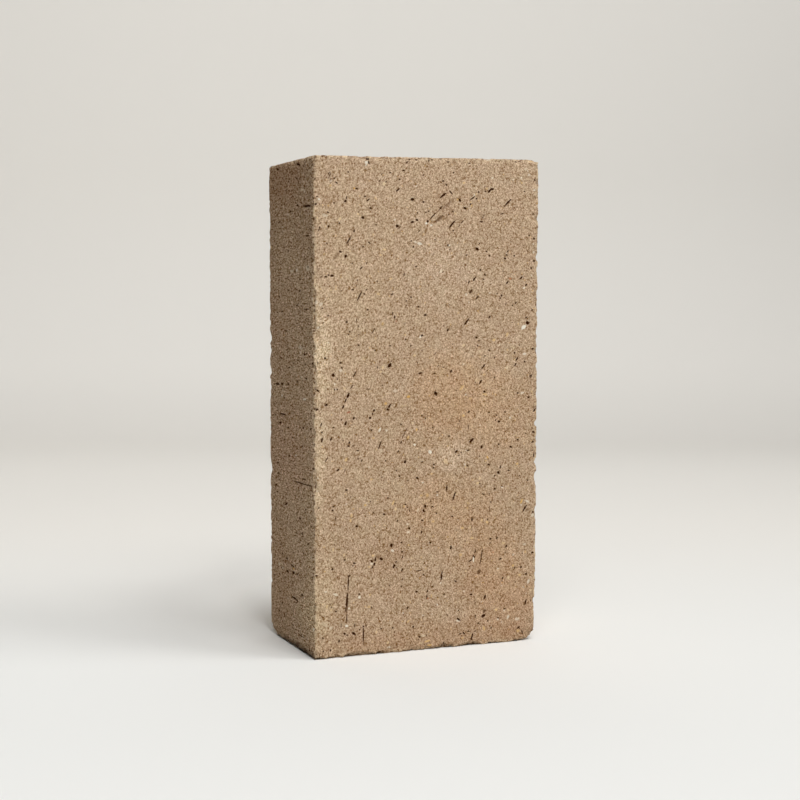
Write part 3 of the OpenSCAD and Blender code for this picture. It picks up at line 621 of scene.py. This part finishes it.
leftFlecks = [
    (42.0, 178.8, 1.7, 1.4, 0, 0.03, 0.9), (57.5, 179.5, 5.0, 2.6, 0, 0.15, 0.5),
    (35.0, 178.5, 5.0, 1.2, 0, 0.15, 0.5), (2.4, 190.6, 2.0, 1.4, 0, 0.5, 0.9),
    (50.0, 215.5, 5.0, 1.1, 0, 0.2, 0.5), (53.5, 214.6, 3.0, 0.9, -20, 0.12, 0.5),
    (19.0, 119.0, 1.6, 0.9, 0, 0.03, 0.9), (52.5, 119.2, 4.5, 1.0, 4, 0.05, 0.85),
    (39.7, 92.0, 1.6, 0.8, 0, 0.05, 0.85), (48.0, 129.3, 3.0, 0.8, 0, 0.15, 0.6),
    (53.5, 94.0, 1.3, 0.9, 0, 0.35, 0.6), (34.5, 69.5, 2.5, 1.0, 0, 0.3, 0.7),
    (35.6, 37.5, 3.0, 1.0, -8, 0.62, 0.8), (13.5, 36.2, 3.0, 1.4, 0, 0.15, 0.6),
    (63.8, 13.8, 1.6, 1.4, 0, 0.03, 0.9), (47.0, 143.0, 5.0, 1.8, -10, 0.12, 0.4),
    (46.7, 140.6, 2.6, 1.1, 0, 0.1, 0.5), (16.3, 158.4, 2.0, 1.0, 0, 0.2, 0.6),
    (38.5, 183.5, 2.6, 0.8, -8, 0.4, 0.5), (44.5, 103.6, 2.0, 1.2, 60, 0.35, 0.5),
    (58.0, 128.3, 3.0, 0.8, 5, 0.25, 0.5), (45.0, 16.7, 3.0, 0.8, 5, 0.2, 0.6),
    (18.0, 36.9, 3.0, 0.8, -8, 0.25, 0.6), (29.2, 205.0, 2.0, 1.2, 0, 0.12, 0.4),
]

flecks = {
    "wear": {"placed": wearFlecks, "more": 260},
    "left": {"placed": leftFlecks, "more": 110},
    "bed": {"placed": [], "more": 300},
    "right": {"placed": [], "more": 170},
    "top": {"placed": [], "more": 80},
    "foot": {"placed": [], "more": 80},
    "margin": 0.6,
    "wide": (0.55, 1.6),         # width of the smallest random fleck, and how rare wide ones are
    "long": (1.05, 0.7, 2),      # length over width: the least, how much more, and how rare that is
    "alone": (0.7, 0.9),         # how much wider than the least they get, and how strong, on a hidden face
    "among": (0.42, 0.75),       # and on a face with placed flecks
    "strength": (0.4, 1),
    "tints": {0.05: 0.27, 0.33: 0.33, 0.5: 0.37, 0.97: 0.03},    # tints, each with its share
    "tintSpread": 0.05,
    "seed": 31,
}


def courseAngle(across, up, course):
    # Which way the wire ran at a spot of a face, in degrees: square to the line from the centre of its
    # swing on a face with arcs, and nearly level on the others
    if course == "level":
        return np.full(np.shape(across), marks["levelTilt"])
    cx, cy = marks["courseCentre"]
    return np.degrees(np.arctan2(up - cy, across - cx)) - 90


def courseSpots(spots, course):
    # Places along and across the wire's course: arc length and radius where it swung, else a plain turn
    if course == "level":
        tilt = math.radians(marks["levelTilt"])
        along = spots[..., 0] * math.cos(tilt) + spots[..., 1] * math.sin(tilt)
        across = spots[..., 1] * math.cos(tilt) - spots[..., 0] * math.sin(tilt)
        return along, across
    cx, cy = marks["courseCentre"]
    radius = np.hypot(spots[..., 0] - cx, spots[..., 1] - cy)
    return np.arctan2(spots[..., 1] - cy, spots[..., 0] - cx) * cx, radius


def faceSize(face):
    return size[face["across"][0]], size[face["up"][0]]


def settled(name, rows, columns):
    # The placed rows of a face at their final places
    rows = np.array(rows, float).reshape(-1, columns)
    if name in settle:
        scale, move = settle[name]
        rows[:, :2] = rows[:, :2] * scale + move
    return rows


def strewn(name, plan):
    # Random places for a face's further marks or flecks, and the generator that goes on from there
    wide, tall = faceSize(faces[name])
    pick = np.random.default_rng([plan["seed"], list(faces).index(name)])
    count = plan[name]["more"]
    margin = plan["margin"]
    across = pick.uniform(margin, wide - margin, count)
    up = pick.uniform(margin, tall - margin, count)
    return pick, count, across, up


def rising(pick, count, least, more, rare):
    # Random numbers from least to least + more, the larger the rarer: least + more * r ^ rare
    return least + more * pick.random(count) ** rare


def allMarks(name):
    # The placed marks of a face, then random ones: most of them small and faint, a few long or dark
    plan = marks[name]
    pick, count, across, up = strewn(name, marks)
    darker, wider = marks["among" if plan["placed"] else "alone"]
    dark = rising(pick, count, marks["dark"][0], darker, marks["dark"][1])
    width = rising(pick, count, marks["wide"][0], wider, marks["wide"][1])
    stretch = rising(pick, count, *marks["long"])
    share, shortest, longest = marks["tears"]
    stretch += (pick.random(count) < share) * pick.uniform(shortest, longest, count)
    slant = courseAngle(across, up, plan["course"]) + pick.normal(0, marks["stray"], count)
    more = np.stack([across, up, width * stretch, width, slant, dark], axis=1)
    return np.concatenate([settled(name, plan["placed"], 6), more])


def allFlecks(name):
    # The placed flecks of a face, then random ones in the same range of tints
    plan = flecks[name]
    pick, count, across, up = strewn(name, flecks)
    wider, stronger = flecks["among" if plan["placed"] else "alone"]
    width = rising(pick, count, flecks["wide"][0], wider, flecks["wide"][1])
    stretch = rising(pick, count, *flecks["long"])
    tints = flecks["tints"]
    tint = pick.choice(list(tints), count, p=list(tints.values()))
    tint = np.clip(tint + pick.normal(0, flecks["tintSpread"], count), 0, 1)
    strength = stronger * pick.uniform(*flecks["strength"], count)
    slant = pick.uniform(0, 180, count)
    more = np.stack([across, up, width * stretch, width, slant, tint, strength], axis=1)
    return np.concatenate([settled(name, plan["placed"], 7), more])


def spotFrame(spots, row):
    # Place of a spot in a mark's own ellipse: 1 is its rim along either axis. The row is one mark, or
    # holds an array for each of a mark's numbers, with one entry for each spot.
    turn = np.radians(row[4])
    dx, dy = spots[..., 0] - row[0], spots[..., 1] - row[1]
    along = (dx * np.cos(turn) + dy * np.sin(turn)) / (row[2] / 2)
    across = (dy * np.cos(turn) - dx * np.sin(turn)) / (row[3] / 2)
    return np.stack([along, across], axis=-1)


def nearestSpots(corners, rows):
    # For each cell of a face, the mark whose ellipse is nearest to the cell's middle, and the place of
    # the cell's corners in it, so that a shader draws the mark sharply on a coarse mesh
    middle = corners.mean(axis=1)
    best = np.full(len(corners), np.inf)
    which = np.zeros(len(corners), int)
    for number, row in enumerate(rows):
        reach = np.linalg.norm(spotFrame(middle, row), axis=-1)
        closer = reach < best
        best[closer] = reach[closer]
        which[closer] = number
    return spotFrame(corners, rows[which].T[:, :, None]), rows[which]


# Relief of the skin, in millimetres
skin = {
    "swell": (0.12, 38.0),          # depth and width of slow swells over a whole face
    "lumps": (0.1, 7.0),
    "grit": (0.1, 2.1),
    "crumble": (1.2, 2.7, 2.2),     # flakes off the arrises, and how far from an arris they reach
    "bites": (1.0, 1.15, 1.2),      # the same, grain by grain
    "proud": 0.12,                  # the skin starts this far out, and stops at the square block
    "flaked": (2.8, 0.6),           # how sharply a flake starts, and how rare it is
    "seed": 90,
    "flakeSeed": 95,
}


def vertexNormals(points, quads):
    # Each point's normal: the mean of the normals of its quads, by the cross product of their diagonals
    corner = points[quads]
    flat = np.cross(corner[:, 2] - corner[:, 0], corner[:, 3] - corner[:, 1])
    total = np.zeros_like(points)
    for k in range(4):
        for axis in range(3):
            total[:, axis] += np.bincount(quads[:, k], flat[:, axis], len(points))
    return total / np.linalg.norm(total, axis=1)[:, None]


def roughen(points, square, quads):
    # Every layer goes inwards along the normal: depth * (1 + cloud) / 2 over the faces, and flakes that
    # fade away from an arris by exp(-(distance / reach)^2)
    inward = np.full(len(points), -skin["proud"])
    for step, name in enumerate(("swell", "lumps", "grit")):
        depth, cell = skin[name]
        inward += depth * (0.5 + 0.5 * cloud(square, cell, skin["seed"] + step))
    arris = np.sort(np.minimum(square - low, high - square), axis=1)[:, 1]
    sharp, rare = skin["flaked"]
    for step, name in enumerate(("crumble", "bites")):
        depth, cell, reach = skin[name]
        flakes = np.clip(sharp * cloud(square, cell, skin["flakeSeed"] + step) - rare, 0, 1)
        inward += depth * flakes * np.exp(-((arris / reach) ** 2))
    return points - vertexNormals(points, quads) * inward[:, None]


def sinkMarks(points, square, sheets):
    # Each mark is a bowl: its depth falls off as 1 - r^2, where r is 1 at the rim
    least = block["middleStep"] * marks["bowlSteps"]
    for name, face in faces.items():
        numbers = sheets[name].ravel()
        spots = faceSpots(square[numbers], face)
        sink = np.zeros(len(numbers))
        for row in allMarks(name):
            bowl = row.copy()
            bowl[2:4] = np.maximum(row[2:4] * marks["bowl"], least)
            reach = np.linalg.norm(spotFrame(spots, bowl), axis=-1)
            thin = min(1.0, row[3] / marks["fullWidth"])
            sink = np.maximum(sink, marks["depth"] * row[5] * thin * np.clip(1 - reach ** 2, 0, 1))
        points[numbers, face["axis"]] -= face["way"] * sink
    return points


def withStrength(place, strength):
    # The places of each cell's four corners, with the cell's own strength as a third number
    return np.concatenate([place, np.repeat(strength[:, None], 4, axis=1)[..., None]], axis=-1)


def paintFaces(mesh, square, sheets):
    # What the clay's nodes read at every corner: the place in the nearest mark and fleck with their
    # strength, the place along the wire's course, and one number each for the rest
    spots = {"mark": [], "fleck": [], "course": []}
    numbers = {"tint": [], "streaked": [], "shade": [], "rubbed": []}
    widest, run = marks["narrow"]
    for number, (name, face) in enumerate(faces.items()):
        corners = faceSpots(square[quadsOf(sheets[name])], face)
        place, rows = nearestSpots(corners, allMarks(name))
        narrow = np.clip((widest - rows[:, 3]) / run, 0, 1)
        spots["mark"].append(withStrength(place, rows[:, 5] * (1 + marks["narrowBoost"] * narrow)))
        place, rows = nearestSpots(corners, allFlecks(name))
        spots["fleck"].append(withStrength(place, rows[:, 6]))
        numbers["tint"].append(np.repeat(rows[:, 5], 4))
        along, across = courseSpots(corners, marks[name]["course"])
        apart = np.full(along.shape, number * marks["facesApart"])
        spots["course"].append(np.stack([along, across, apart], axis=-1))
        numbers["streaked"].append(np.full(along.size, marks["streaks"][name]))
        # each face's own tone and painted shade: paler or darker as a whole, and from its foot to its top
        height = corners[..., 1].ravel() / faceSize(face)[1] - 0.5
        numbers["shade"].append(marks["level"][name] + height * marks["slope"][name])
        arris = np.minimum(corners, np.array(faceSize(face)) - corners).min(axis=-1).ravel()
        numbers["rubbed"].append(np.exp(-((arris / marks["rubReach"]) ** 2)))
    for kind, field, layers in (("FLOAT_VECTOR", "vector", spots), ("FLOAT", "value", numbers)):
        for label, values in layers.items():
            layer = mesh.attributes.new(label, kind, "CORNER")
            layer.data.foreach_set(field, np.concatenate(values).astype(np.float32).ravel())


def makePaver():
    lines = [low[a] + gridLines(size[a]) for a in range(3)]
    square, sheets = shellGrid(lines)
    quads = np.concatenate([quadsOf(sheet) for sheet in sheets.values()])
    points = roundArrises(square.copy())
    points = leanBlock(points)
    points = biteChips(points)
    points = roughen(points, square, quads)
    points = sinkMarks(points, square, sheets)
    points = np.clip(points, low, high)

    mesh = bpy.data.meshes.new("paver_body")
    mesh.vertices.add(len(points))
    mesh.vertices.foreach_set("co", (points * millimetre).astype(np.float32).ravel())
    mesh.loops.add(quads.size)
    mesh.loops.foreach_set("vertex_index", quads.ravel())
    mesh.polygons.add(len(quads))
    mesh.polygons.foreach_set("loop_start", np.arange(len(quads)) * 4)
    mesh.polygons.foreach_set("use_smooth", np.ones(len(quads), bool))
    mesh.update(calc_edges=True)
    mesh.validate()
    paintFaces(mesh, square, sheets)

    paver = bpy.data.objects.new("paver_body", mesh)
    bpy.context.scene.collection.objects.link(paver)
    print("paver made:", len(points), "points,", 2 * len(quads), "triangles")
    return paver


class Wire:
    # An output socket. Arithmetic on it adds Math nodes, or Vector Math nodes for vectors and colours.
    def __init__(self, board, socket):
        self.board = board
        self.socket = socket

    def join(self, operation, first, second):
        parts = [first, second]
        kinds = [part.socket.type if isinstance(part, Wire) else type(part) for part in parts]
        many = any(kind in ("VECTOR", "RGBA", tuple) for kind in kinds)
        if many:
            parts = [(part, part, part) if isinstance(part, (int, float)) else part for part in parts]
        kind = "ShaderNodeVectorMath" if many else "ShaderNodeMath"
        return self.board.add(kind, {"operation": operation}, {0: parts[0], 1: parts[1]})

    def __add__(self, other):
        return self.join("ADD", self, other)

    def __radd__(self, other):
        return self.join("ADD", other, self)

    def __sub__(self, other):
        return self.join("SUBTRACT", self, other)

    def __rsub__(self, other):
        return self.join("SUBTRACT", other, self)

    def __mul__(self, other):
        return self.join("MULTIPLY", self, other)

    def __rmul__(self, other):
        return self.join("MULTIPLY", other, self)

    def __truediv__(self, other):
        return self.join("DIVIDE", self, other)


class Board:
    # The nodes of one material or world
    def __init__(self, owner):
        self.owner = owner
        owner.use_nodes = True
        self.tree = owner.node_tree
        self.tree.nodes.clear()

    def add(self, kind, settings=None, sockets=None, output=0):
        # Adds a node: its settings first, then the values or links of its sockets
        node = self.tree.nodes.new(kind)
        for key, value in (settings or {}).items():
            if key == "stops":
                ramp = node.color_ramp.elements
                while len(ramp) < len(value):
                    ramp.new(1.0)
                for stop, (place, colour) in zip(ramp, value):
                    stop.position = place
                    stop.color = colour
            else:
                setattr(node, key, value)
        for key, value in (sockets or {}).items():
            if isinstance(value, Wire):
                self.tree.links.new(value.socket, node.inputs[key])
            else:
                node.inputs[key].default_value = value
        return Wire(self, node.outputs[output]) if len(node.outputs) else node

    def noise(self, where, cell, detail=2.0, rough=0.5, output=0):
        return self.add("ShaderNodeTexNoise", {"noise_dimensions": "3D"},
                        {"Vector": where, "Scale": 1 / cell, "Detail": detail, "Roughness": rough}, output)

    def shift(self, where, cell, detail=2.0, rough=0.5):
        # Noise in three numbers, each from -0.5 to 0.5, which frays a place or a rim
        return self.noise(where, cell, detail, rough, output=1) - (0.5, 0.5, 0.5)

    def cells(self, where, cell, output=0):
        # Voronoi cells: the distance from a cell's own point, or with output 1 a random colour for each
        return self.add("ShaderNodeTexVoronoi", {"feature": "F1"},
                        {"Vector": where, "Scale": 1 / cell}, output)

    def step(self, value, start, end):
        # 0 at start and 1 at end, with a soft run between them
        return self.add("ShaderNodeMapRange", {"interpolation_type": "SMOOTHSTEP"},
                        {"Value": value, "From Min": start, "From Max": end})

    def mix(self, first, second, factor):
        return self.add("ShaderNodeMix", {"data_type": "RGBA"}, {0: factor, 6: first, 7: second}, output=2)

    def length(self, vector):
        return self.add("ShaderNodeVectorMath", {"operation": "LENGTH"}, {0: vector}, output=1)

    def dot(self, vector, way):
        return self.add("ShaderNodeVectorMath", {"operation": "DOT_PRODUCT"}, {0: vector, 1: way}, output=1)

    def flat(self, x, y):
        return self.add("ShaderNodeCombineXYZ", None, {0: x, 1: y})

    def attribute(self, name, output):
        return self.add("ShaderNodeAttribute", {"attribute_name": name}, None, output)

    def parts(self, vector):
        node = self.add("ShaderNodeSeparateXYZ", None, {0: vector}).socket.node
        return [Wire(self, socket) for socket in node.outputs]


# The fired clay: colours as display values, sizes in millimetres. A layer of tones is its size and its
# strength. A step is where it starts, where it is full and, if it has a third number, how strong it is.
clay = {
    "body": linear(185.2, 158.4, 130.0),
    "warm": linear(196, 152, 108),
    "grey": linear(214, 190, 164),
    "buff": linear(206, 182, 146),
    "dim": linear(158, 116, 84),
    "rosy": linear(184, 140, 118),
    "crumb": linear(226, 204, 170),
    "stain": linear(116, 72, 30),       # round a pit, and in its shallow parts
    # dark clay inside pits and gaps, and partly painted shade, as these recesses are too small to shade
    # themselves
    "hollow": linear(54, 26, 12),
    "white": linear(235, 228, 212),
    "cream": linear(226, 200, 158),
    "ochre": linear(212, 168, 98),
    "rust": linear(168, 92, 58),
    "swing": (0.82, 1.0, 1.22),         # how much a change of tone shows in red, green and blue
    "grain": (0.38, 0.95),
    "beads": (0.85, 1.05),              # pale at the middle of each grain and dark between them
    "mottle": (0.7, 0.15),
    "blotch": (4.5, 0.14),
    "drift": (42.0, 0.22),
    "streak": (0.8, 2.7),
    "stretch": 3.5,                     # how much longer than wide the streaks are
    "calmed": (0.9, 0.5),               # tone on a face without streaks, and what full streaks add to it
    "hue": (7.0, 0.05),
    "wobble": 0.75,                     # size of the noise that frays grains and flecks
    "grainFray": 0.4,                   # how far it moves the finest grains
    "fray": 0.5,                        # and all others
    "grainShape": (0.8, 1.0, 1.0),      # the finest grains are longer along the wire's course
    "bloom": (5.0, 1.2),                # size of the noise that frays the patches, and how far
    "patchStep": (1.2, 0.3),
    "crumbs": 1.5,                      # size of the pale grains and dark gaps along the arrises
    "crumbPale": (0.48, 0.6, 0.7),
    "crumbDark": (0.42, 0.33, 0.8),
    "specks": (2.3, 0.30, 0.42),        # spacing, share of them that is kept, and radius
    "speckStrength": 0.5,
    "speckTints": 0.7,                  # how far their tints run from white to rust
    "dots": (1.35, 0.24, 0.3),          # small pits between the placed ones, given in the same way
    "dotShape": (0.62, 1.0, 1.0),
    "dotStain": 0.85,
    "fleckFray": (1.1, 1.1, 0),         # in radii of the fleck, along and across it
    "fleckStep": (1.25, 0.8),
    "pitNoise": 0.5,                    # size of the noise that frays the pits
    "pitFray": (1.3, 1.6, 0),
    "pitStep": (1.0, 0.62),
    "rimStep": (1.2, 0.7),
    "stainStep": (0.0, 0.7, 0.85),
    "hollowStep": (0.12, 0.62, 0.96),
    "relief": {"grain": 0.12, "mottle": 0.1, "beads": 0.12, "speck": 0.05, "fleck": 0.08,
               "dots": 0.22, "pit": 0.5},
    "patches": [                        # middle, reach, colour and strength
        ((13, -32, 91), (10, 20, 9), "grey", 0.42), ((16, -32, 48), (7, 20, 6), "grey", 0.2),
        ((5, -32, 177), (20, 20, 20), "grey", 0.2), ((25, -32, 177), (15, 20, 15), "grey", 0.1),
        ((-40, -32, 160), (22, 20, 60), "buff", 0.12), ((-54, -32, 25), (9, 12, 24), "buff", 0.3),
        ((9, -32, 118), (23, 20, 26), "warm", 0.26), ((34, -32, 112), (22, 20, 26), "warm", 0.2),
        ((10, -32, 66), (28, 20, 18), "warm", 0.22), ((30, -32, 45), (20, 20, 24), "warm", 0.16),
        ((38, -32, 24), (22, 20, 26), "warm", 0.16), ((28, -32, 30), (20, 20, 28), "dim", 0.14),
        ((0, -32, 2), (64, 20, 12), "dim", 0.28), ((8, -32, 209), (11, 20, 10), "dim", 0.14),
        ((-20, -32, 46), (12, 20, 10), "dim", 0.2), ((-57, -22, 18), (14, 14, 9), "buff", 0.35),
        ((-57, -26, 60), (14, 9, 40), "buff", 0.12), ((-57, 10, 225), (16, 36, 22), "dim", 0.35),
        # the first patch below is a painted contact shadow: the lowest 4 mm of the left edge darkened
        ((-57, -10, 0), (3, 38, 3.8), "hollow", 0.9), ((-57, 6, 92), (12, 34, 26), "rosy", 0.2),
        # the two crumb patches on the arris between the wear face and the left edge are pale clay and partly
        # a painted highlight where the worn arris turns to the light
        ((-57, 20, 150), (12, 22, 26), "rosy", 0.1), ((-53, -34, 140), (6, 2.5, 26), "crumb", 0.75),
        ((-54, -34, 95), (4.5, 2.5, 40), "crumb", 0.5), ((48, -32, 14), (16, 20, 22), "dim", 0.22),
        ((-57, 20, 24), (14, 26, 40), "dim", 0.22),
    ],
    "roughness": 0.95,
    "specular": 0.01,
}

# Strewn grains: how soft the cut between kept and left out ones is, their radius from least to most, and
# where the soft rim starts and is full
grains = {"cut": 0.96, "radius": (0.45, 0.55), "rim": (1.15, 0.7)}


def scatter(board, where, spacing, share, radius):
    # Grains strewn at random: one for each Voronoi cell of the given spacing, kept where the cell's
    # random number is under the share, with a soft rim at its radius. Returns the mask and the tint.
    distance = board.cells(where, spacing)
    lot, tint, bulk = board.parts(board.cells(where, spacing, output=1))
    kept = board.step(lot, share, share * grains["cut"])
    least, more = grains["radius"]
    reach = (least + more * bulk) * (radius / spacing)
    return kept * board.step(distance / reach, *grains["rim"]), tint


def clayTones(board, place, course, wobble):
    # The grains of the body, from the finest to slow changes over a whole face. Returns the whole tone,
    # about 0, with each face's tone and painted shade added, and the three layers that also show as relief.
    sand = course * clay["grainShape"] + wobble * clay["grainFray"]
    grain = board.parts(board.cells(sand, clay["grain"][0], output=1))[0] - 0.5
    beads = 0.5 - board.cells(place + wobble * clay["fray"], clay["beads"][0])
    mottle = board.noise(place, clay["mottle"][0], rough=0.6) - 0.5
    tone = grain * clay["grain"][1] + mottle * clay["mottle"][1] + beads * clay["beads"][1]
    for layer in ("blotch", "drift"):
        cell, strength = clay[layer]
        tone = tone + (board.noise(place, cell) - 0.5) * strength
    cell, strength = clay["streak"]
    streaks = board.noise(course * (1 / clay["stretch"], 1.0, 1.0), cell, detail=3.0, rough=0.6)
    streaked = board.attribute("streaked", 2)
    calm, more = clay["calmed"]
    tone = tone * (streaked * more + calm) + (streaks - 0.5) * strength * streaked
    # plus each face's painted shade, darker or paler by how the light falls on it, and its own tone
    return tone + board.attribute("shade", 2), grain, beads, mottle


def clayMaterial():
    board = Board(bpy.data.materials.new("fired_clay"))
    place = board.add("ShaderNodeTexCoord", output=3) * (1 / millimetre)
    course = board.attribute("course", 1)
    wobble = board.shift(place, clay["wobble"], detail=3.0, rough=0.7)
    tone, grain, beads, mottle = clayTones(board, place, course, wobble)

    # patches of other clay, then the tones over them
    base = clay["body"]
    cell, fray = clay["bloom"]
    bloom = (board.noise(place, cell, detail=3.0, rough=0.6) - 0.5) * fray
    for spot, reach, colour, strength in clay["patches"]:
        patch = board.step(board.length((place - spot) / reach) + bloom, *clay["patchStep"])
        base = board.mix(base, clay[colour], patch * strength)
    cell, strength = clay["hue"]
    hue = board.shift(place, cell) * strength
    base = base * (tone * clay["swing"] + (1, 1, 1)) * (hue + (1, 1, 1))

    # pale grains and dark gaps along the arrises
    rubbed = board.attribute("rubbed", 2)
    crumbs = board.noise(place, clay["crumbs"], rough=0.6)
    start, full, strength = clay["crumbPale"]
    base = board.mix(base, clay["crumb"], board.step(crumbs, start, full) * rubbed * strength)
    start, full, strength = clay["crumbDark"]
    base = board.mix(base, clay["hollow"], board.step(crumbs, start, full) * rubbed * rubbed * strength)

    # small specks and the placed flecks
    stops = [(0.0, clay["white"]), (0.33, clay["cream"]), (0.62, clay["ochre"]), (1.0, clay["rust"])]
    speck, speckTint = scatter(board, place + wobble * clay["fray"], *clay["specks"])
    along, across, strength = board.parts(board.attribute("fleck", 1))
    edge = board.length(board.flat(along, across) + wobble * clay["fleckFray"])
    fleck = board.step(edge, *clay["fleckStep"]) * strength
    colour = board.add("ShaderNodeValToRGB", {"stops": stops}, {0: speckTint * clay["speckTints"]})
    base = board.mix(base, colour, speck * clay["speckStrength"])
    colour = board.add("ShaderNodeValToRGB", {"stops": stops}, {0: board.attribute("tint", 2)})
    base = board.mix(base, colour, fleck)

    # small dots, then the placed pits and tears: a brown stain out to the rim and a dark hollow inside,
    # the hollow partly painted shade, as the small pits are too shallow to shade themselves
    dots = scatter(board, course * clay["dotShape"] + wobble * clay["fray"], *clay["dots"])[0]
    base = board.mix(base, clay["stain"], dots * clay["dotStain"])
    along, across, darkness = board.parts(board.attribute("mark", 1))
    fray = board.shift(place, clay["pitNoise"], rough=0.6) * clay["pitFray"]
    edge = board.length(board.flat(along, across) + fray)
    pit = board.step(edge, *clay["pitStep"]) * darkness
    rim = board.step(edge, *clay["rimStep"]) * darkness
    for colour, mask, name in (("stain", rim, "stainStep"), ("hollow", pit, "hollowStep")):
        start, full, strength = clay[name]
        base = board.mix(base, clay[colour], board.step(mask, start, full) * strength)

    relief = clay["relief"]
    height = grain * relief["grain"] + mottle * relief["mottle"] + beads * relief["beads"]
    height = height + speck * relief["speck"] + fleck * relief["fleck"]
    height = height - dots * relief["dots"] - pit * relief["pit"]
    bump = board.add("ShaderNodeBump", None, {"Strength": 1.0, "Distance": millimetre, "Height": height})
    shader = board.add("ShaderNodeBsdfPrincipled", None, {
        "Base Color": base,
        "Roughness": clay["roughness"],
        "Specular IOR Level": clay["specular"],
        "Normal": bump,
    })
    board.add("ShaderNodeOutputMaterial", None, {"Surface": shader})
    return board.owner


paver = makePaver()
paver.data.materials.append(clayMaterial())
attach(paver, block["body"])
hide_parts(block["node"])
print("paver finished")

# The stage: a floor that turns up into a wall behind the paver. Places are in metres from the paver, to
# the right, away and up as the camera sees it.
stage = {
    "front": -2.5,
    "back": 1.2,
    "turn": 0.3,             # radius where the floor turns up
    "turnSteps": 12,
    "wallHeight": 2.4,
    "halfWidth": 3.2,
    "floor": linear(233, 233, 230),
    "wall": linear(237.5, 234.5, 228.5),
    "toWall": (-0.1, 0.4),   # how far away the floor's colour turns into the wall's
    "dip": 0.06,             # painted shade: share by which the paper darkens where the floor turns up
    "dipAway": (0.6, 1.0),
    "dipUp": (0.0, 0.08),
    "fade": (0.24, 0.13),    # painted shade: the paper darkens to the right, where less light reaches it, per metre and per square metre
    "paintedShadowLift": ((-0.06, 0.09), (0.07, 0.14), 0.29),    # painted light that lifts the paver's cast shadow: place, reach and share
}


def makeStage():
    # A profile (floor, quarter circle, wall) carried along a straight line from left to right
    angle = np.linspace(0, math.pi / 2, stage["turnSteps"] + 1)
    bend = np.stack([stage["back"] - stage["turn"] + stage["turn"] * np.sin(angle),
                     stage["turn"] - stage["turn"] * np.cos(angle)], axis=1)
    profile = np.concatenate([[[stage["front"], 0.0]], bend, [[stage["back"], stage["wallHeight"]]]])
    sides = np.array([-stage["halfWidth"], stage["halfWidth"]])
    right, row = np.meshgrid(sides, np.arange(len(profile)), indexing="ij")
    points = np.stack(toView(right, profile[row, 0], profile[row, 1]), axis=-1).reshape(-1, 3)
    count = len(profile)
    first = np.arange(count - 1)
    quads = np.stack([first, first + count, first + count + 1, first + 1], axis=1)
    mesh = bpy.data.meshes.new("sweep")
    mesh.from_pydata(points.tolist(), [], quads.tolist())
    mesh.polygons.foreach_set("use_smooth", np.ones(len(quads), bool))
    mesh.update()
    sweep = bpy.data.objects.new("sweep", mesh)
    bpy.context.scene.collection.objects.link(sweep)
    sweep.data.materials.append(paperMaterial())


def paperMaterial():
    board = Board(bpy.data.materials.new("studio_paper"))
    place = board.add("ShaderNodeTexCoord", output=3)
    up = board.parts(place)[2]
    right = board.dot(place, toView(1, 0, 0))
    away = board.dot(place, toView(0, 1, 0))
    colour = board.mix(stage["floor"], stage["wall"], board.step(away, *stage["toWall"]))
    dip = board.step(away, *stage["dipAway"]) * (1 - board.step(up, *stage["dipUp"]))
    fade, curve = stage["fade"]
    (x, y), (wide, deep), share = stage["paintedShadowLift"]
    paintedShadowLift = board.step(board.length(board.flat((right - x) / wide, (away - y) / deep)), 1.0, 0.0) * share
    # painted shade at the bend and towards the right, and painted light lifting the paver's cast shadow
    colour = colour * (1 - dip * stage["dip"]) * (1 - right * fade - right * right * curve) * (1 + paintedShadowLift)
    shader = board.add("ShaderNodeBsdfDiffuse", None, {"Color": colour})
    board.add("ShaderNodeOutputMaterial", None, {"Surface": shader})
    return board.owner


# Lamps, in metres from the paver as the camera sees it: right, away, up, then what they aim at
lamps = {
    "key": {"place": (2.0, -0.42, 1.3), "aim": (0, 0, 0.1), "size": (1.1, 1.1), "power": 15.5},
    "side": {"place": (0.69, -1.4, 1.94), "aim": (0, 0.3, 0.1), "size": (1.0, 1.0), "power": 16.8},
    "front": {"place": (0.06, -1.37, 2.09), "aim": (0, 0.3, 0.1), "size": (1.0, 1.0), "power": 16.5},
    "top": {"place": (0.75, -0.6, 2.4), "aim": (0.2, 0.2, 0), "size": (1.4, 1.4), "power": 25},
}

# The world: how much light it gives, and the colour that the camera sees beyond the paper
world = {"light": 0.01, "seen": linear(222, 220, 214)}


def makeLamps():
    for name, lamp in lamps.items():
        data = bpy.data.lights.new(name, "AREA")
        data.shape = "RECTANGLE"
        data.size, data.size_y = lamp["size"]
        data.energy = lamp["power"]
        body = bpy.data.objects.new(name, data)
        bpy.context.scene.collection.objects.link(body)
        start = np.array(toView(*lamp["place"]))
        aim = np.array(toView(*lamp["aim"])) - start
        body.location = start
        body.rotation_mode = "XYZ"
        flat = math.hypot(aim[0], aim[1])
        body.rotation_euler = (math.atan2(flat, -aim[2]), 0, math.atan2(aim[1], aim[0]) - math.pi / 2)


def makeWorld():
    board = Board(bpy.data.worlds.new("studio"))
    seenByCamera = board.add("ShaderNodeLightPath")
    light = board.add("ShaderNodeBackground", None, {0: (1, 1, 1, 1), 1: world["light"]})
    seen = board.add("ShaderNodeBackground", None, {0: world["seen"]})
    either = board.add("ShaderNodeMixShader", None, {0: seenByCamera, 1: light, 2: seen})
    board.add("ShaderNodeOutputWorld", None, {0: either})
    bpy.context.scene.world = board.owner


makeStage()
makeLamps()
makeWorld()
bpy.context.scene.view_settings.view_transform = "Standard"
print("stage and lamps ready")
